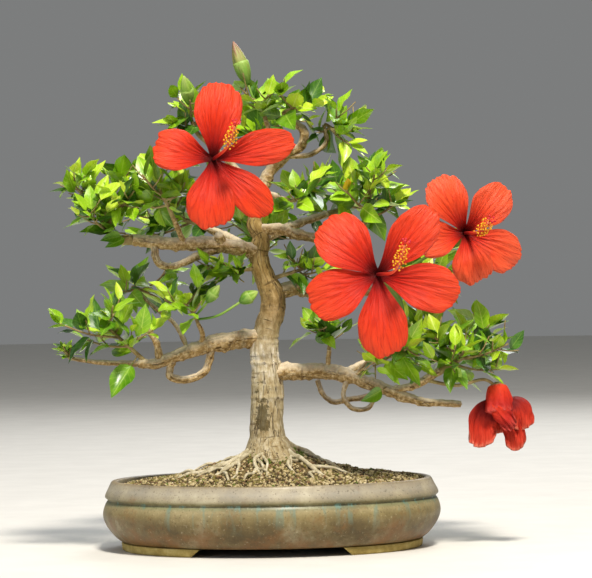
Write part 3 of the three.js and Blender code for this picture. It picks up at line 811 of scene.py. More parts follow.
@dataclass(frozen=True)
class Graded(Finish):
    """Plant skin whose colour changes from its foot to its tip, with faint stripes along it."""

    roughness: float = 0.5
    stops: Stops = ()
    stripes: Point = (14.0, 2.0, 1.0)
    detail: float = 3.0
    grit: float = 0.5
    distortion: float = 0.0
    shift: float = 0.8

    def pattern(self, graph: Graph) -> Pattern:
        """Colour along V by a ramp that a striped noise shifts to and fro.

        Args:
            graph: Graph that gets the nodes.

        Returns:
            Outputs of the colour and of the relief's height.
        """
        spot = graph.add("TexCoord", out="UV")
        drawn = graph.add("Mapping", {"Vector": spot, "Scale": self.stripes})
        noise = {"Vector": drawn, "Scale": 1.0, "Detail": self.detail, "Roughness": self.grit}
        stripe = graph.add("TexNoise", {**noise, "Distortion": self.distortion})
        along = graph.add("SeparateXYZ", (spot,), "Y")
        raised = graph.add("Math", (stripe, self.shift, along), operation="MULTIPLY_ADD")
        shifted = graph.add("Math", (raised, self.shift / 2), operation="SUBTRACT")
        return graph.add("ValToRGB", (shifted,), stops=self.stops), stripe


@dataclass(frozen=True)
class PetalSkin(Graded):
    """Thin silky petal: scarlet with a dark throat and fine pleats that fan out along it."""

    title: str = "scarlet_petal"
    roughness: float = 0.44
    ior: float = 1.36
    relief: float = 1.0
    relief_depth: float = 1.7
    stops: Stops = (
        (0.05, "#3A0206"), (0.15, "#7A0506"), (0.26, "#B41404"), (0.55, "#D02C08"), (1.0, "#DC4018")
    )
    stripes: Point = (30.0, 4.2, 1.0)
    detail: float = 5.0
    grit: float = 0.62
    distortion: float = 0.5
    shift: float = 0.26
    # Colour laid in the pleats' furrows as painted shade
    line: str = "#A41404"

    def pattern(self, graph: Graph) -> Pattern:
        """Darken the furrows of the pleats as painted shade; the pleats also shift the ramp, which
        lightens their ridges as painted sheen.

        Args:
            graph: Graph that gets the nodes.

        Returns:
            Outputs of the colour and of the relief's height.
        """
        ground, pleat = super().pattern(graph)
        furrow_shade = graph.add("MapRange", (pleat, 0.5, 0.34, 0.0, 0.5))
        layer = {0: furrow_shade, 6: ground, 7: to_linear(self.line)}
        return graph.add("Mix", layer, 2, data_type="RGBA"), pleat


# Fired stoneware of the feet, unglazed and ochre
FOOT_CLAY = Mottled(
    "ochre_stoneware", 0.85, relief=0.4, tones=("#8F7A3E", "#B09A55", "#C8B678"), patch=11.0
)
# Damp fines between the grains
SOIL_FINES = Mottled(
    "damp_soil",
    roughness=0.95,
    relief=0.9,
    relief_depth=1.0,
    tones=("#3A2F1A", "#655534", "#8A7848"),
    patch=4.0,
)
# Baked clay and pumice grains, dull and dusty, in the tones of a bonsai mix, and moss
GRAINS = (
    Mottled("buff_grit", 0.9, tones=("#8A784E", "#B09E72", "#D6C8A2")),
    Mottled("red_lava_grit", 0.92, tones=("#5A4128", "#7C5E3E", "#987A56")),
    Mottled("dark_grit", 0.92, tones=("#362A17", "#54452A", "#70603E")),
    Mottled("olive_grit", 0.92, tones=("#524A22", "#786C36", "#9A8C54")),
    Mottled("moss_tufts", 0.95, tones=("#34420F", "#53631E", "#828F38"), patch=2.0),
)
# Trunk bark weathers palest at half its height and browner above
TRUNK_BARK = HibiscusBark(
    moss_place=(4.6, 12.0, 36.0),
    weathering=(
        (0.08, "#CCC4AE"), (0.3, "#D8D2BE"), (0.42, "#FFFFFF"),
        (0.5, "#BEB49A"), (0.6, "#AC9872"), (0.8, "#C8B27E"),
    ),
)
# Bough bark is browner and more lumpy, with a painted highlight on its upper sides
BOUGH_BARK = HibiscusBark(
    "brown_hibiscus_bark",
    tones=("#6A5022", "#A88A56", "#DEC99E"),
    patch=2.6,
    stretch=(1.0, 1.0, 1.0),
    stain_share=0.6,
    top_highlight_share=0.7,
)
# Washed roots: smooth, pale and grey
ROOT_BARK = Mottled(
    "pale_root_bark", 0.8, relief=0.5, tones=("#877B5C", "#B6AB8C", "#D9D0B8"), patch=5.0
)
# Half-ripe twigs, brown turning to green
TWIG_BARK = Mottled(
    "young_twig_bark", 0.75, relief=0.4, tones=("#6B5634", "#8E7A4C", "#A99A68"), patch=6.0
)
LEAF_SKINS = {
    Tint.YOUNG: LeafSkin("young_leaf", blade="#C2DA34", deep="#98C410", vein="#DEEC88"),
    Tint.FRESH: LeafSkin("fresh_leaf", blade="#9CC71E", deep="#72A40C", vein="#C9DF64"),
    Tint.GROWN: LeafSkin("grown_leaf", blade="#6C9A14", deep="#427408", vein="#A2C44A"),
    Tint.FADED: LeafSkin("yellowed_leaf", blade="#EAC21C", deep="#D8A80E", vein="#F2DE74"),
    # Darker copy of the leaf skin: painted shade, dealt to leaves in turn like an age
    Tint.SHADED: LeafSkin("shaded_leaf", blade="#47761A", deep="#28540A", vein="#7CA040"),
}
PETAL_SKIN = PetalSkin()
# The flower farthest from the trunk gets a paler copy of the petal skin: painted sheen
PALE_PETAL_SKIN = PetalSkin(
    "pale_scarlet_petal",
    stops=(
        (0.05, "#3A0206"), (0.15, "#8A0A08"), (0.26, "#C82410"), (0.55, "#E0461E"), (1.0, "#E85A34")
    ),
    line="#BC2410",
)
# Withered petals: dark inside with a paler rim, duller red outside
SPENT_SKINS = (
    PetalSkin(
        "withered_petal_inside",
        roughness=0.62,
        relief_depth=1.4,
        stops=(
            (0.05, "#4C0404"), (0.3, "#7C0A06"), (0.62, "#C02A12"), (0.9, "#CA3E26"),
            (1.0, "#E07A62"),
        ),
        line="#8A0E0A",
    ),
    PetalSkin(
        "withered_petal_outside",
        roughness=0.62,
        relief_depth=1.4,
        stops=((0.02, "#DC3A12"), (0.4, "#CC2A0E"), (0.75, "#B41E14"), (1.0, "#C4483E")),
        line="#980F08",
    ),
)
CALYX_SKIN = Graded("green_calyx", stops=((0.1, "#4A7420"), (0.5, "#6E9634"), (0.9, "#90AE50")))
# The oldest bud shows its petals at the tip, the others are still green
BUD_SKINS = (
    Graded(
        "opening_bud",
        stops=(
            (0.0, "#4C6E22"), (0.4, "#788E3A"), (0.68, "#94904E"), (0.85, "#7E6440"),
            (1.0, "#A87464"),
        ),
        stripes=(11.0, 2.0, 1.0),
    ),
    Graded(
        "green_bud",
        stops=((0.0, "#40701A"), (0.4, "#6C9A2C"), (0.65, "#8CB044"), (1.0, "#B0C46C")),
        stripes=(11.0, 2.0, 1.0),
    ),
)
COLUMN_SKIN = Graded(
    "stamen_column", stops=((0.1, "#7C0A0E"), (0.45, "#D8321E"), (0.8, "#EE6A44"), (1.0, "#F08A5A"))
)
ANTHER_DUST = Mottled("pollen_yellow", 0.9, tones=("#DE8A12", "#F2B01E", "#FAD24A"), patch=1.6)
STIGMA_SKIN = Mottled("crimson_stigma", 0.7, tones=("#A00E22", "#C81A30", "#E2485A"), patch=1.6)
FLOOR_PAPER = Mottled(
    "pale_paper", 0.9, relief=0.02, tones=("#D6D4CE", "#DAD8D2", "#DEDCD6"), patch=60.0
)


# Sub-assemblies


@dataclass
class OvalPot:
    """Shallow oval pot with a groove under its lip, on two curved feet."""

    oval: float = 0.78
    around: int = 192
    wobble: float = 0.35
    underside: float = 6.6
    floor: float = 12.6
    foot_height: float = 6.3
    foot_inside: float = 108.0
    foot_outside: float = 120.5
    foot_opening: float = 62.5
    foot_slope: float = 1.11
    foot_rows: int = 64
    profile: Points = (
        (60, 6.6), (112, 6.6), (119.5, 7.0), (124.5, 10.2), (128.4, 14.4), (132.6, 20.5),
        (134.8, 26.5), (135, 30), (134.2, 34), (132.7, 37.8), (131.9, 38.9), (131.2, 40),
        (131.9, 41), (133.2, 42.1), (133.4, 43.4), (132.4, 46), (130.8, 49), (129.2, 52.2),
        (128.2, 54.0), (127.2, 54.9), (125, 55.2), (123.2, 54.8), (122.5, 53.6), (123.4, 46),
        (126, 30), (120, 16), (111, 12.6), (60, 12.6),
    )

    def body(self) -> Surface:
        """Turn the profile round the oval: x = r cos a, y = 0.78 r sin a, with a slight wobble.

        Returns:
            The closed pot wall.
        """
        line = Path([(radius, 0.0, height) for radius, height in self.profile], fine=5).line
        line = np.vstack([[0, 0, self.underside], line, [0, 0, self.floor]])
        angles = full_turn(self.around)
        ring = to_points(np.cos(angles), np.sin(angles), 0)
        spots = ring[None] * 3 + line[:, None, 2:] * np.array([0, 0, 0.05])
        lumps = self.wobble * value_noise(spots, 5) * np.minimum(line[:, :1] / 100, 1)
        radius = line[:, :1] + lumps
        y = radius * np.sin(angles) * self.oval
        return Surface.from_grid(to_points(radius * np.cos(angles), y, line[:, 2:]))

    def foot(self, side: int) -> Surface:
        """Bend a rounded bar round one end of the oval, with sloping ends.

        A point at radius r and height z runs from -a to a, where r cos a is the opening less the
        slope times z.

        Args:
            side: -1 for the left end, 1 for the right.

        Returns:
            The closed foot.
        """
        high, inner, outer = self.foot_height, self.foot_inside, self.foot_outside
        loop = np.array(
            [
                (inner + 0.8, 0), (outer - 2.0, 0), (outer - 1.0, 0.5),
                (outer - 0.5, 1.6), (outer - 0.1, high - 0.4), (outer - 0.6, high),
                (inner + 0.6, high), (inner, high - 0.6), (inner, 0.8),
            ]
        )
        radius, height = loop.T
        limit = np.arccos((self.foot_opening - self.foot_slope * height) / radius)
        angles = np.linspace(-1, 1, self.foot_rows)[:, None] * limit
        x = side * radius * np.cos(angles)
        grid = to_points(x, side * radius * np.sin(angles) * self.oval, height)
        ends = [np.broadcast_to(row.mean(axis=0), (1, *row.shape)) for row in (grid[0], grid[-1])]
        return Surface.from_grid(np.concatenate([ends[0], grid, ends[1]]))

    def build(self, bench: Bench) -> None:
        """Place the pot and its feet."""
        bench.place("glazed_pot", self.body(), StonewareGlaze().build(), Slot.GLAZE, ["pot"])
        clay = FOOT_CLAY.build()
        for name, side in (("left", -1), ("right", 1)):
            foot = self.foot(side)
            bench.place(f"{name}_foot_bar", foot, clay, Slot.CLAY, [f"pot_foot_{name}"])


@dataclass
class SoilBed:
    """Mound of grit round the trunk, with loose grains on it."""

    oval: float = 0.78
    base: float = 50.5
    rise: float = 41.5
    fall: float = 47.0
    tilt: float = 0.012
    edge: float = 122.0
    lump: float = 1.1
    lump_spacing: float = 26.0
    dip: float = 1.5
    dip_range: Point = (108.0, 122.5)
    fines_sink: float = 0.9
    fines_lump: float = 0.7
    fines_size: float = 5.0
    underside: Points = ((0.0, 30.0), (60.0, 30.0), (112.0, 30.0), (121.0, 44.0))
    around: int = 144
    rows: int = 62
    grains: int = 9000
    grain_radius: Point = (0.65, 1.8)
    grain_sink: float = 0.6
    grain_lift: float = 0.35
    grain_shares: Point = (0.44, 0.1, 0.2, 0.23, 0.03)
    trunk_x: float = -2.0
    trunk_radius: float = 17.0
    moss_radius: float = 31.0
    moss_share: float = 0.55
    seed: int = 17

    def height(self, x: Array, y: Array) -> Array:
        """Return the mound's height: exp(-r / 47), waves of grit 26 mm apart, a dip at the edge."""
        out = np.hypot(x, y / self.oval)
        dip = self.dip * smooth_step(out, *self.dip_range)
        turn = math.pi / self.lump_spacing
        waves = self.lump * np.sin(turn * x + 0.6) * np.sin(turn * y + 0.9)
        return self.base + self.rise * np.exp(-out / self.fall) + self.tilt * x - dip + waves

    def bed(self) -> Surface:
        """Lay a polar grid on the mound with fine lumps, and close it below.

        Returns:
            The closed bed.
        """
        angles = full_turn(self.around)
        below = np.array(self.underside)
        radii = np.concatenate([below[:, 0], np.linspace(self.edge, 0, self.rows)])[:, None]
        x = radii * np.cos(angles)
        y = radii * np.sin(angles) * self.oval
        z = self.height(x, y) - self.fines_sink
        z += self.fines_lump * value_noise(to_points(x, y, 0) / self.fines_size, 3)
        z[: len(below)] = below[:, 1:]
        return Surface.from_grid(to_points(x, y, z))

    def loose_grains(self) -> list[Surface]:
        """Scatter grains evenly over the mound: r = R sqrt(random), each ball squashed and turned.

        Returns:
            One surface for each colour of grain.
        """
        random = np.random.default_rng(self.seed)
        out = self.edge * np.sqrt(random.random(self.grains))
        angle = 2 * np.pi * random.random(self.grains)
        x = out * np.cos(angle)
        y = out * np.sin(angle) * self.oval
        low, high = self.grain_radius
        size = low + (high - low) * random.random(self.grains) ** 1.6
        free = np.hypot(x - self.trunk_x, y) > self.trunk_radius
        keep = free & (out + size < self.edge)
        x, y, size = x[keep], y[keep], size[keep]
        z = self.height(x, y) - self.grain_sink + self.grain_lift * size
        template = grain_template()
        count = len(x)
        axes = np.linalg.qr(random.normal(size=(count, 3, 3)))[0]
        stretch = random.uniform(0.7, 1.2, (count, 1, 3))
        lumps = random.uniform(0.8, 1.15, (count, len(template.points), 1))
        balls = (template.points * stretch * lumps * size[:, None, None]) @ axes
        places = balls + to_points(x, y, z)[:, None]
        kind = random.choice(len(GRAINS), count, p=self.grain_shares)
        near = np.hypot(x - self.trunk_x, y) < self.moss_radius
        kind[near & (random.random(count) < self.moss_share)] = len(GRAINS) - 1
        return [Surface.copies(template, places[kind == k]) for k in range(len(GRAINS))]

    def build(self, bench: Bench) -> None:
        """Place the bed and the grains."""
        bench.place("soil_bed", self.bed(), SOIL_FINES.build(), Slot.SOIL, ["soil"])
        for finish, grains in zip(GRAINS, self.loose_grains()):
            bench.place(f"grains_{finish.title}", grains, finish.build(), Slot.SOIL, ["soil"])


@dataclass(frozen=True)
class Limb:
    """A bough, stub or root: its path and the radii at its ends."""

    path: Points
    radii: Point


LIMBS: dict[str, Limb] = {
    "leader": Limb(((-10, 0, 265), (-5, 3, 283), (4, 5, 302), (18, 0, 314.5)), (5.3, 4.4)),
    "lower_left_bough": Limb(
        ((-4, 0, 166), (-24, -4, 166.5), (-49, -8, 162), (-72, -12, 155.5), (-89, -16, 148.5),
         (-104, -19, 148.5)), (8, 3.4)),
    "lower_left_tip": Limb(
        ((-100, -18, 148.5), (-122, -20, 149.5), (-140, -21.5, 151), (-154, -23, 153.5)),
        (2.5, 1.5)),
    "lower_left_shoot": Limb(
        ((-64, -11, 157.5), (-75, 2, 179), (-92, 12, 193), (-104, 17, 204)), (2, 1.3)),
    "lower_left_loop": Limb(
        ((-77, -13, 153), (-79, -14, 139), (-67, -13, 135.5), (-52, -10, 141), (-46, -8, 158)),
        (3.4, 3)),
    "lower_left_spur": Limb(((-54, -9, 161), (-53, -17, 172), (-56, -23, 180)), (2.2, 1.5)),
    "lower_right_bough": Limb(
        ((-2, 0, 139.5), (25, -4, 140), (48, -8, 139.5), (66, -13, 135), (93, -18, 124.5),
         (120, -20, 115.5), (151, -22, 113)), (7.4, 2.5)),
    "lower_right_fork": Limb(((96, -18.5, 123.5), (116, -20, 129), (135, -22, 139)), (3.7, 3)),
    "lower_right_back_bough": Limb(((57, -10, 137.5), (82, 24, 147), (106, 46, 153)), (3.7, 2.4)),
    "lower_right_stub": Limb(((67, -13, 134.5), (80, -23, 148), (91, -31, 152)), (2.8, 2.2)),
    "lower_right_spur": Limb(((46, -8, 139.5), (47.5, -9, 157)), (2.1, 1.7)),
    "lower_right_loop": Limb(
        ((92, -17.5, 125), (76, -14, 119.5), (60, -12.5, 117), (50, -12, 115.8), (42, -10, 122),
         (38, -8, 133)), (2.3, 2)),
    "lower_right_hook": Limb(
        ((62, -12, 134.5), (58.5, -20, 120), (65, -22, 111), (77, -21, 110.5), (83, -19, 118)),
        (2.1, 1.6)),
    "mid_left_bough": Limb(
        ((-7, 0, 237), (-25, -7, 240), (-43, -12, 242.5), (-75, -18, 243.5), (-107, -22, 247)),
        (6.2, 4.4)),
    "mid_left_loop": Limb(
        ((-30, -9, 241), (-54, -16, 234), (-76, -22, 225.5), (-87, -23, 229), (-90, -20.5, 244)),
        (3.3, 2.8)),
    "mid_left_spur": Limb(((-66, -16.5, 243.3), (-71, -29, 256), (-74, -36, 264)), (2.5, 1.9)),
    "back_left_bough": Limb(((-6, 0, 228), (-27, 34, 246), (-50, 58, 257)), (4.4, 3)),
    "mid_right_bough": Limb(
        ((-8, 0, 254), (11, -3, 253.5), (23, -5, 249.5), (43, -3, 247), (61, 0, 252)), (4.8, 3.5)),
    "right_bough": Limb(
        ((3, 0, 204), (22, 10, 206.5), (40, 19, 203.5), (74, 32, 203), (102, 37, 208)), (6.2, 3)),
    "back_right_bough": Limb(((-6, 0, 245), (18, 37, 257), (48, 62, 267)), (4, 2.8)),
    "centre_back_bough": Limb(((-5, 0, 219), (-7, 29, 230), (-6, 50, 238)), (4, 2.6)),
    "top_back_bough": Limb(((3, 4.6, 299.5), (0, 30, 314), (-5, 46, 325)), (3.2, 2.2)),
    "upper_left_bough": Limb(((-7, 2, 276), (-26, 22, 305), (-47, 18, 325)), (3.4, 2.3)),
    "apex_shoot": Limb(((8, 4, 306), (5, -1, 325), (0, -4, 341)), (2.7, 1.8)),
    "top_curl": Limb(((18, 0, 314.5), (27.5, -3, 320), (30, -5, 331), (18, -4, 343)), (4.2, 2.9)),
    "top_right_loop": Limb(
        ((15, 1, 312), (36, -5, 313.5), (48, -4, 323), (47, -3, 333)), (2.2, 1.5)),
    "middle_spur": Limb(((-4, 3.4, 285), (8, -8, 280), (14, -13, 278)), (2.3, 1.7)),
}
# Short sawn-off shoots, each on its bough
STUBS: dict[str, Limb] = {
    "mid_left_bough": Limb(((-37, -10, 243), (-38, -15, 247), (-38.5, -18, 250)), (4.6, 3.6)),
    "lower_left_bough": Limb(
        ((-87, -15, 150), (-89, -18, 164), (-95, -19, 175), (-98, -20, 180)), (3, 2.4)
    ),
}
# Main roots in plan, on the mound
ROOTS = (
    Limb(((-14, -8), (-38, -19), (-76, -23)), (4.4, 1.6)),
    Limb(((-14, -12), (-34, -28), (-44, -47)), (3.6, 1.5)),
    Limb(((-4, -16), (-13, -31), (-8, -48)), (3.2, 1.6)),
    Limb(((12, -10), (30, -32), (45, -50)), (3.8, 1.6)),
    Limb(((14, 2), (28, 6), (46, 4)), (3.8, 1.8)),
    Limb(((6, 14), (16, 30), (14, 50)), (3.6, 1.6)),
    Limb(((-12, 12), (-28, 24), (-52, 30)), (3.8, 1.6)),
)


@dataclass
class Wood:
    """Trunk, surface roots and boughs, all with the bark's relief."""

    soil: SoilBed
    # Places and radii up the trunk
    trunk: Points = (
        (-1, 0, 69, 28), (-2, 0, 78, 21.5), (-3, 0, 88, 15.4), (-3, 0, 100, 13.2),
        (-2.5, 1, 116, 12.8), (-2, 1, 130, 13), (-3.5, 0, 150, 11.4), (-4, -1, 161, 11.5),
        (-1.5, -1, 176, 10.2), (3, 0, 190, 10), (4, 1, 199, 9.7), (-1.5, 1, 213, 8.3),
        (-6, 0, 225, 8.1), (-7.5, 0, 236, 7.8), (-5.5, 0, 248, 6.4), (-10.3, 0, 258, 6.3),
        (-10, 0, 265, 5.3),
    )
    trunk_sides: int = 88
    trunk_rows: int = 300
    ring_scars: Points = ((147.5, 0.8), (166, -0.5), (120, 0.4))
    ring_width: float = 1.3
    flare: Point = (80, 108)
    side_roots: Point = (0.12, 0.3, 0.5, 0.7)
    side_root_radii: Point = (1.5, 0.7)
    root_slimness: float = 0.62
    joint_spacing: float = 13.0
    seed: int = 23
    # Points round each kind of limb and rings along it
    root_mesh: tuple[int, int] = (12, 30)
    stub_mesh: tuple[int, int] = (24, 30)
    bough_sides: tuple[int, int] = (20, 32)
    thin_radius: float = 3.0
    rings_per_mm: float = 1.1
    fewest_rings: int = 24
    cut_dome: float = 0.1

    def trunk_relief(self, points: Array, shares: Array, angles: Array) -> Array:
        """Work out the trunk's bark: lumps, upright ridges, ring scars and the root flare's lobes.

        Args:
            points: Smooth points of the trunk.
            shares: Places along it; not used.
            angles: Angles round it.

        Returns:
            Heights in millimetres.
        """
        del shares
        lumps = 0.55 * value_noise(points / 11, 1) + 0.3 * value_noise(points / 4.5, 2)
        ridges = 0.4 * value_noise(points / np.array([2.2, 2.2, 20]), 3)
        marks = 0.22 * value_noise(points / np.array([30, 30, 1.7]), 4)
        lift = points[..., 2]
        wave = 1.2 * value_noise(points / 9, 5)
        for height, rise in self.ring_scars:
            marks += rise * np.exp(-(((lift - height - wave) / self.ring_width) ** 2))
        lobes = np.zeros_like(angles)
        bearing = np.arctan2(points[..., 1], points[..., 0] + 2)
        for root in ROOTS:
            aim = math.atan2(root.path[0][1], root.path[0][0] + 2)
            apart = np.abs((bearing - aim + np.pi) % (2 * np.pi) - np.pi)
            lobes += root.radii[0] * 0.16 * np.exp(-((apart / 0.24) ** 2))
        return lumps + ridges + marks + (1 - smooth_step(lift, *self.flare)) * (lobes - 1.2)

    def limb(self, path: Path, radii: Point, sides: int, rows: int, dome: float = DOME) -> Surface:
        """Build a bough: lumps, wrinkles across it and swollen old leaf joints on a tapering tube.

        Args:
            path: Middle line.
            radii: Radii at the foot and at the tip.
            sides: Points round it.
            rows: Rings along it.
            dome: Height of the ends as a part of their radius.

        Returns:
            The closed bough.
        """
        radius = taper(*radii)

        def relief(points: Array, shares: Array, angles: Array) -> Array:
            """Add the three kinds of unevenness, each as a part of the radius."""
            way = shares * path.length
            turn = to_points(np.cos(angles), np.sin(angles), way / 2.4)
            lumps = 0.19 * value_noise(points / 6.5, 6) + 0.11 * value_noise(points / 2.8, 7)
            wrinkles = 0.05 * value_noise(turn, 8)
            spacing = self.joint_spacing
            joint = np.abs((way + 3 * np.sin(way / 9)) % spacing - spacing / 2)
            side = 0.5 + 0.5 * np.cos(angles - way / 5)
            swelling = 0.14 * np.exp(-((joint / 1.5) ** 2)) * side
            return radius(shares) * (lumps + wrinkles + swelling)

        return tube(path, radius, sides, rows, relief, dome)

    def root_paths(self) -> list[tuple[Path, Point]]:
        """Lay the roots on the mound in low arches, each with finer side roots by a seeded rule.

        Returns:
            Paths with the radii at both ends.
        """
        random = np.random.default_rng(self.seed)
        laid = []
        for root in ROOTS:
            flat = Path([(x, y, 0.0) for x, y in root.path])
            runs = [(flat, tuple(self.root_slimness * radius for radius in root.radii))]
            for place in self.side_roots:
                start = flat.at(place)
                ahead = flat.heading(place)
                swing = random.choice([-1, 1]) * random.uniform(0.5, 0.9)
                turned = np.array([-ahead[1], ahead[0], 0]) * swing + ahead * 0.8
                reach = random.uniform(16, 34)
                bend = start + turned * reach * 0.5 + random.normal(0, 2, 3) * [1, 1, 0]
                runs.append((Path([start, bend, start + turned * reach]), self.side_root_radii))
            for run, ends in runs:
                shares = np.linspace(0, 1, 12)
                way = run.at(shares)
                wander = value_noise(way / 9, 9)[:, None] * np.array([2.6, -2.6, 0])
                way = way + wander * shares[:, None]
                arch = np.sin(np.pi * shares) ** 2 * (0.6 + 0.6 * value_noise(way / 14, 10))
                lift = 0.5 * ends[1] + 4.2 * arch - 1.6 * shares**6 * ends[1]
                way[:, 2] = self.soil.height(way[:, 0], way[:, 1]) + lift
                laid.append((Path(way, fine=6), ends))
        return laid

    def build(self, bench: Bench) -> None:
        """Place the trunk, the roots and each bough."""
        stations = np.array(self.trunk, float)
        steps = np.linalg.norm(np.diff(stations[:, :3], axis=0), axis=1)
        reached = np.concatenate([[0], np.cumsum(steps)]) / steps.sum()
        trunk = tube(
            Path(stations),
            lambda share: np.interp(share, reached, stations[:, 3]),
            self.trunk_sides,
            self.trunk_rows,
            self.trunk_relief,
        )
        bench.place("trunk_bark", trunk, TRUNK_BARK.build(), Slot.BARK, ["trunk"])
        roots = Surface.join([self.limb(*root, *self.root_mesh) for root in self.root_paths()])
        bench.place("surface_roots", roots, ROOT_BARK.build(), Slot.BARK, ["trunk"])
        bark = BOUGH_BARK.build()
        for name, stub in STUBS.items():
            shape = self.limb(Path(stub.path), stub.radii, *self.stub_mesh, self.cut_dome)
            bench.place(f"{name}_cut_stub", shape, bark, Slot.BARK, [name])
        for name, limb in LIMBS.items():
            path = Path(limb.path)
            rows = max(self.fewest_rings, int(path.length * self.rings_per_mm))
            sides = self.bough_sides[limb.radii[0] > self.thin_radius]
            shape = self.limb(path, limb.radii, sides, rows)
            bench.place(f"{name}_bark", shape, bark, Slot.BARK, [name])


@dataclass(frozen=True)
class Mass:
    """A spray of foliage: the limb it grows from, the middle and half-sizes of its space."""

    limb: str
    middle: Point
    reach: Point
    twigs: int
    twiglets: int = 3
    start: Point | None = None
    size: float = 1.0


MASSES: dict[str, Mass] = {
    "lower_left_leaves": Mass(
        "lower_left_bough", (-128, -30, 179), (55, 48, 36), 5, 1, start=(-97, -17.5, 149)
    ),
    "lower_left_back_leaves": Mass("lower_left_shoot", (-102, 38, 207), (50, 46, 34), 4, 1),
    "lower_left_side_leaves": Mass("lower_left_spur", (-66, -36, 196), (33, 32, 36), 3, 1),
    "mid_left_leaves": Mass("mid_left_bough", (-126, -28, 281), (47, 48, 40), 5, 6),
    "mid_left_front_leaves": Mass("mid_left_spur", (-84, -50, 286), (36, 40, 46), 4),
    "upper_left_leaves": Mass("upper_left_bough", (-62, 8, 350), (29, 38, 37), 4),
    "apex_leaves": Mass("apex_shoot", (-9, -6, 358), (31, 32, 30), 3, 2),
    "top_leaves": Mass("top_curl", (24, -10, 350), (34, 34, 33), 3, 1),
    "top_right_leaves": Mass("top_right_loop", (57, -6, 331), (33, 36, 40), 4, 1),
    "right_upper_leaves": Mass("mid_right_bough", (82, -12, 284), (41, 44, 37), 4, 2),
    "middle_leaves": Mass("middle_spur", (30, -25, 282), (33, 35, 31), 3, 2),
    "right_mid_leaves": Mass("right_bough", (134, 38, 221), (40, 48, 42), 4),
    "lower_right_leaves": Mass("lower_right_fork", (158, -26, 153), (52, 48, 42), 6, 4),
    "lower_right_back_leaves": Mass("lower_right_back_bough", (138, 68, 168), (50, 48, 42), 4),
    "lower_right_inner_leaves": Mass("lower_right_stub", (102, -46, 153), (38, 34, 34), 4),
    "centre_right_leaves": Mass("trunk", (32, -8, 223), (29, 30, 26), 2, start=(-2, 0, 213)),
    "centre_left_leaves": Mass("trunk", (-40, -14, 221), (30, 30, 24), 2, start=(-5, 0, 223)),
    "lower_right_spur_leaves": Mass("lower_right_spur", (44, -8, 170), (34, 31, 24), 2),
    "back_left_leaves": Mass("back_left_bough", (-84, 80, 268), (56, 48, 48), 5),
    "back_right_leaves": Mass("back_right_bough", (70, 84, 283), (54, 48, 47), 5),
    "centre_back_leaves": Mass("centre_back_bough", (-6, 76, 252), (44, 48, 44), 4),
    "top_back_leaves": Mass("top_back_bough", (-8, 68, 344), (52, 48, 44), 5),
    "lower_left_tip_leaves": Mass("lower_left_tip", (-161, -25, 160), (14, 14, 12), 1, size=0.45),
}


@dataclass(frozen=True)
class Bloom:
    """An open flower: bend and tip of its column; petals as angle in degrees, length and width."""

    middle: Point
    stalk: Points
    lean: Point
    column: Points
    petals: Points


BLOOMS: dict[str, Bloom] = {
    "top_flower": Bloom(
        (-41, -76, 308),
        ((-7, 1.6, 277), (-26, -26, 291), (-41, -48, 302)),
        (-0.16, -0.2),
        ((13, -22, 9), (18.5, -31, 22.5)),
        ((83, 61, 38), (12, 64, 29), (-45, 61, 29), (-93, 55, 39), (166, 46, 34)),
    ),
    "right_flower": Bloom(
        (85, -96, 216),
        ((112, -19.8, 127.5), (116, -40, 158), (101, -62, 196)),
        (0.14, -0.16),
        ((13, -23, 4), (19.5, -32, 21.5)),
        ((135, 59, 43), (48, 65, 35), (-15, 63, 38), (-86, 64, 39), (-157, 57, 39)),
    ),
    "far_right_flower": Bloom(
        (156, -46, 248),
        ((92, 35.5, 205.5), (120, 2, 226), (150, -20, 242)),
        (-0.22, -0.1),
        ((10, -17, 1), (16, -26, 7.5)),
        ((117, 50, 34), (46, 48, 32), (-28, 47, 34), (-80, 41, 33), (191, 38, 30)),
    ),
}
# Flower that gets the paler petal skin, as painted sheen
SHEEN_LIT_BLOOM = "far_right_flower"


@dataclass(frozen=True)
class FlowerBud:
    """A bud: the mass that bears it, its stalk, its length and its widest radius."""

    mass: str
    stalk: Points
    length: float
    radius: float


BUDS = (
    FlowerBud("apex_leaves", ((-6, -5, 352), (-11, -5, 362), (-14, -5, 371)), 35, 5.6),
    FlowerBud("lower_left_side_leaves", ((-58, -27, 186), (-50, -38, 194), (-47, -40, 198)), 16, 4),
    FlowerBud(
        "lower_left_side_leaves", ((-57, -25, 183), (-40, -34, 186), (-21, -34, 197)), 15, 4.6
    ),
    FlowerBud("upper_left_leaves", ((-60, 9, 342), (-60, 2, 350), (-61, -2, 356)), 25, 4.6),
)


@dataclass
class SingleLeaf:
    """A leaf: its foot, its direction, the direction its upper side faces, its length and its tint
    (its age, or the darker painted shade).
    """

    base: Array
    along: Array
    facing: Array
    length: float
    tint: Tint


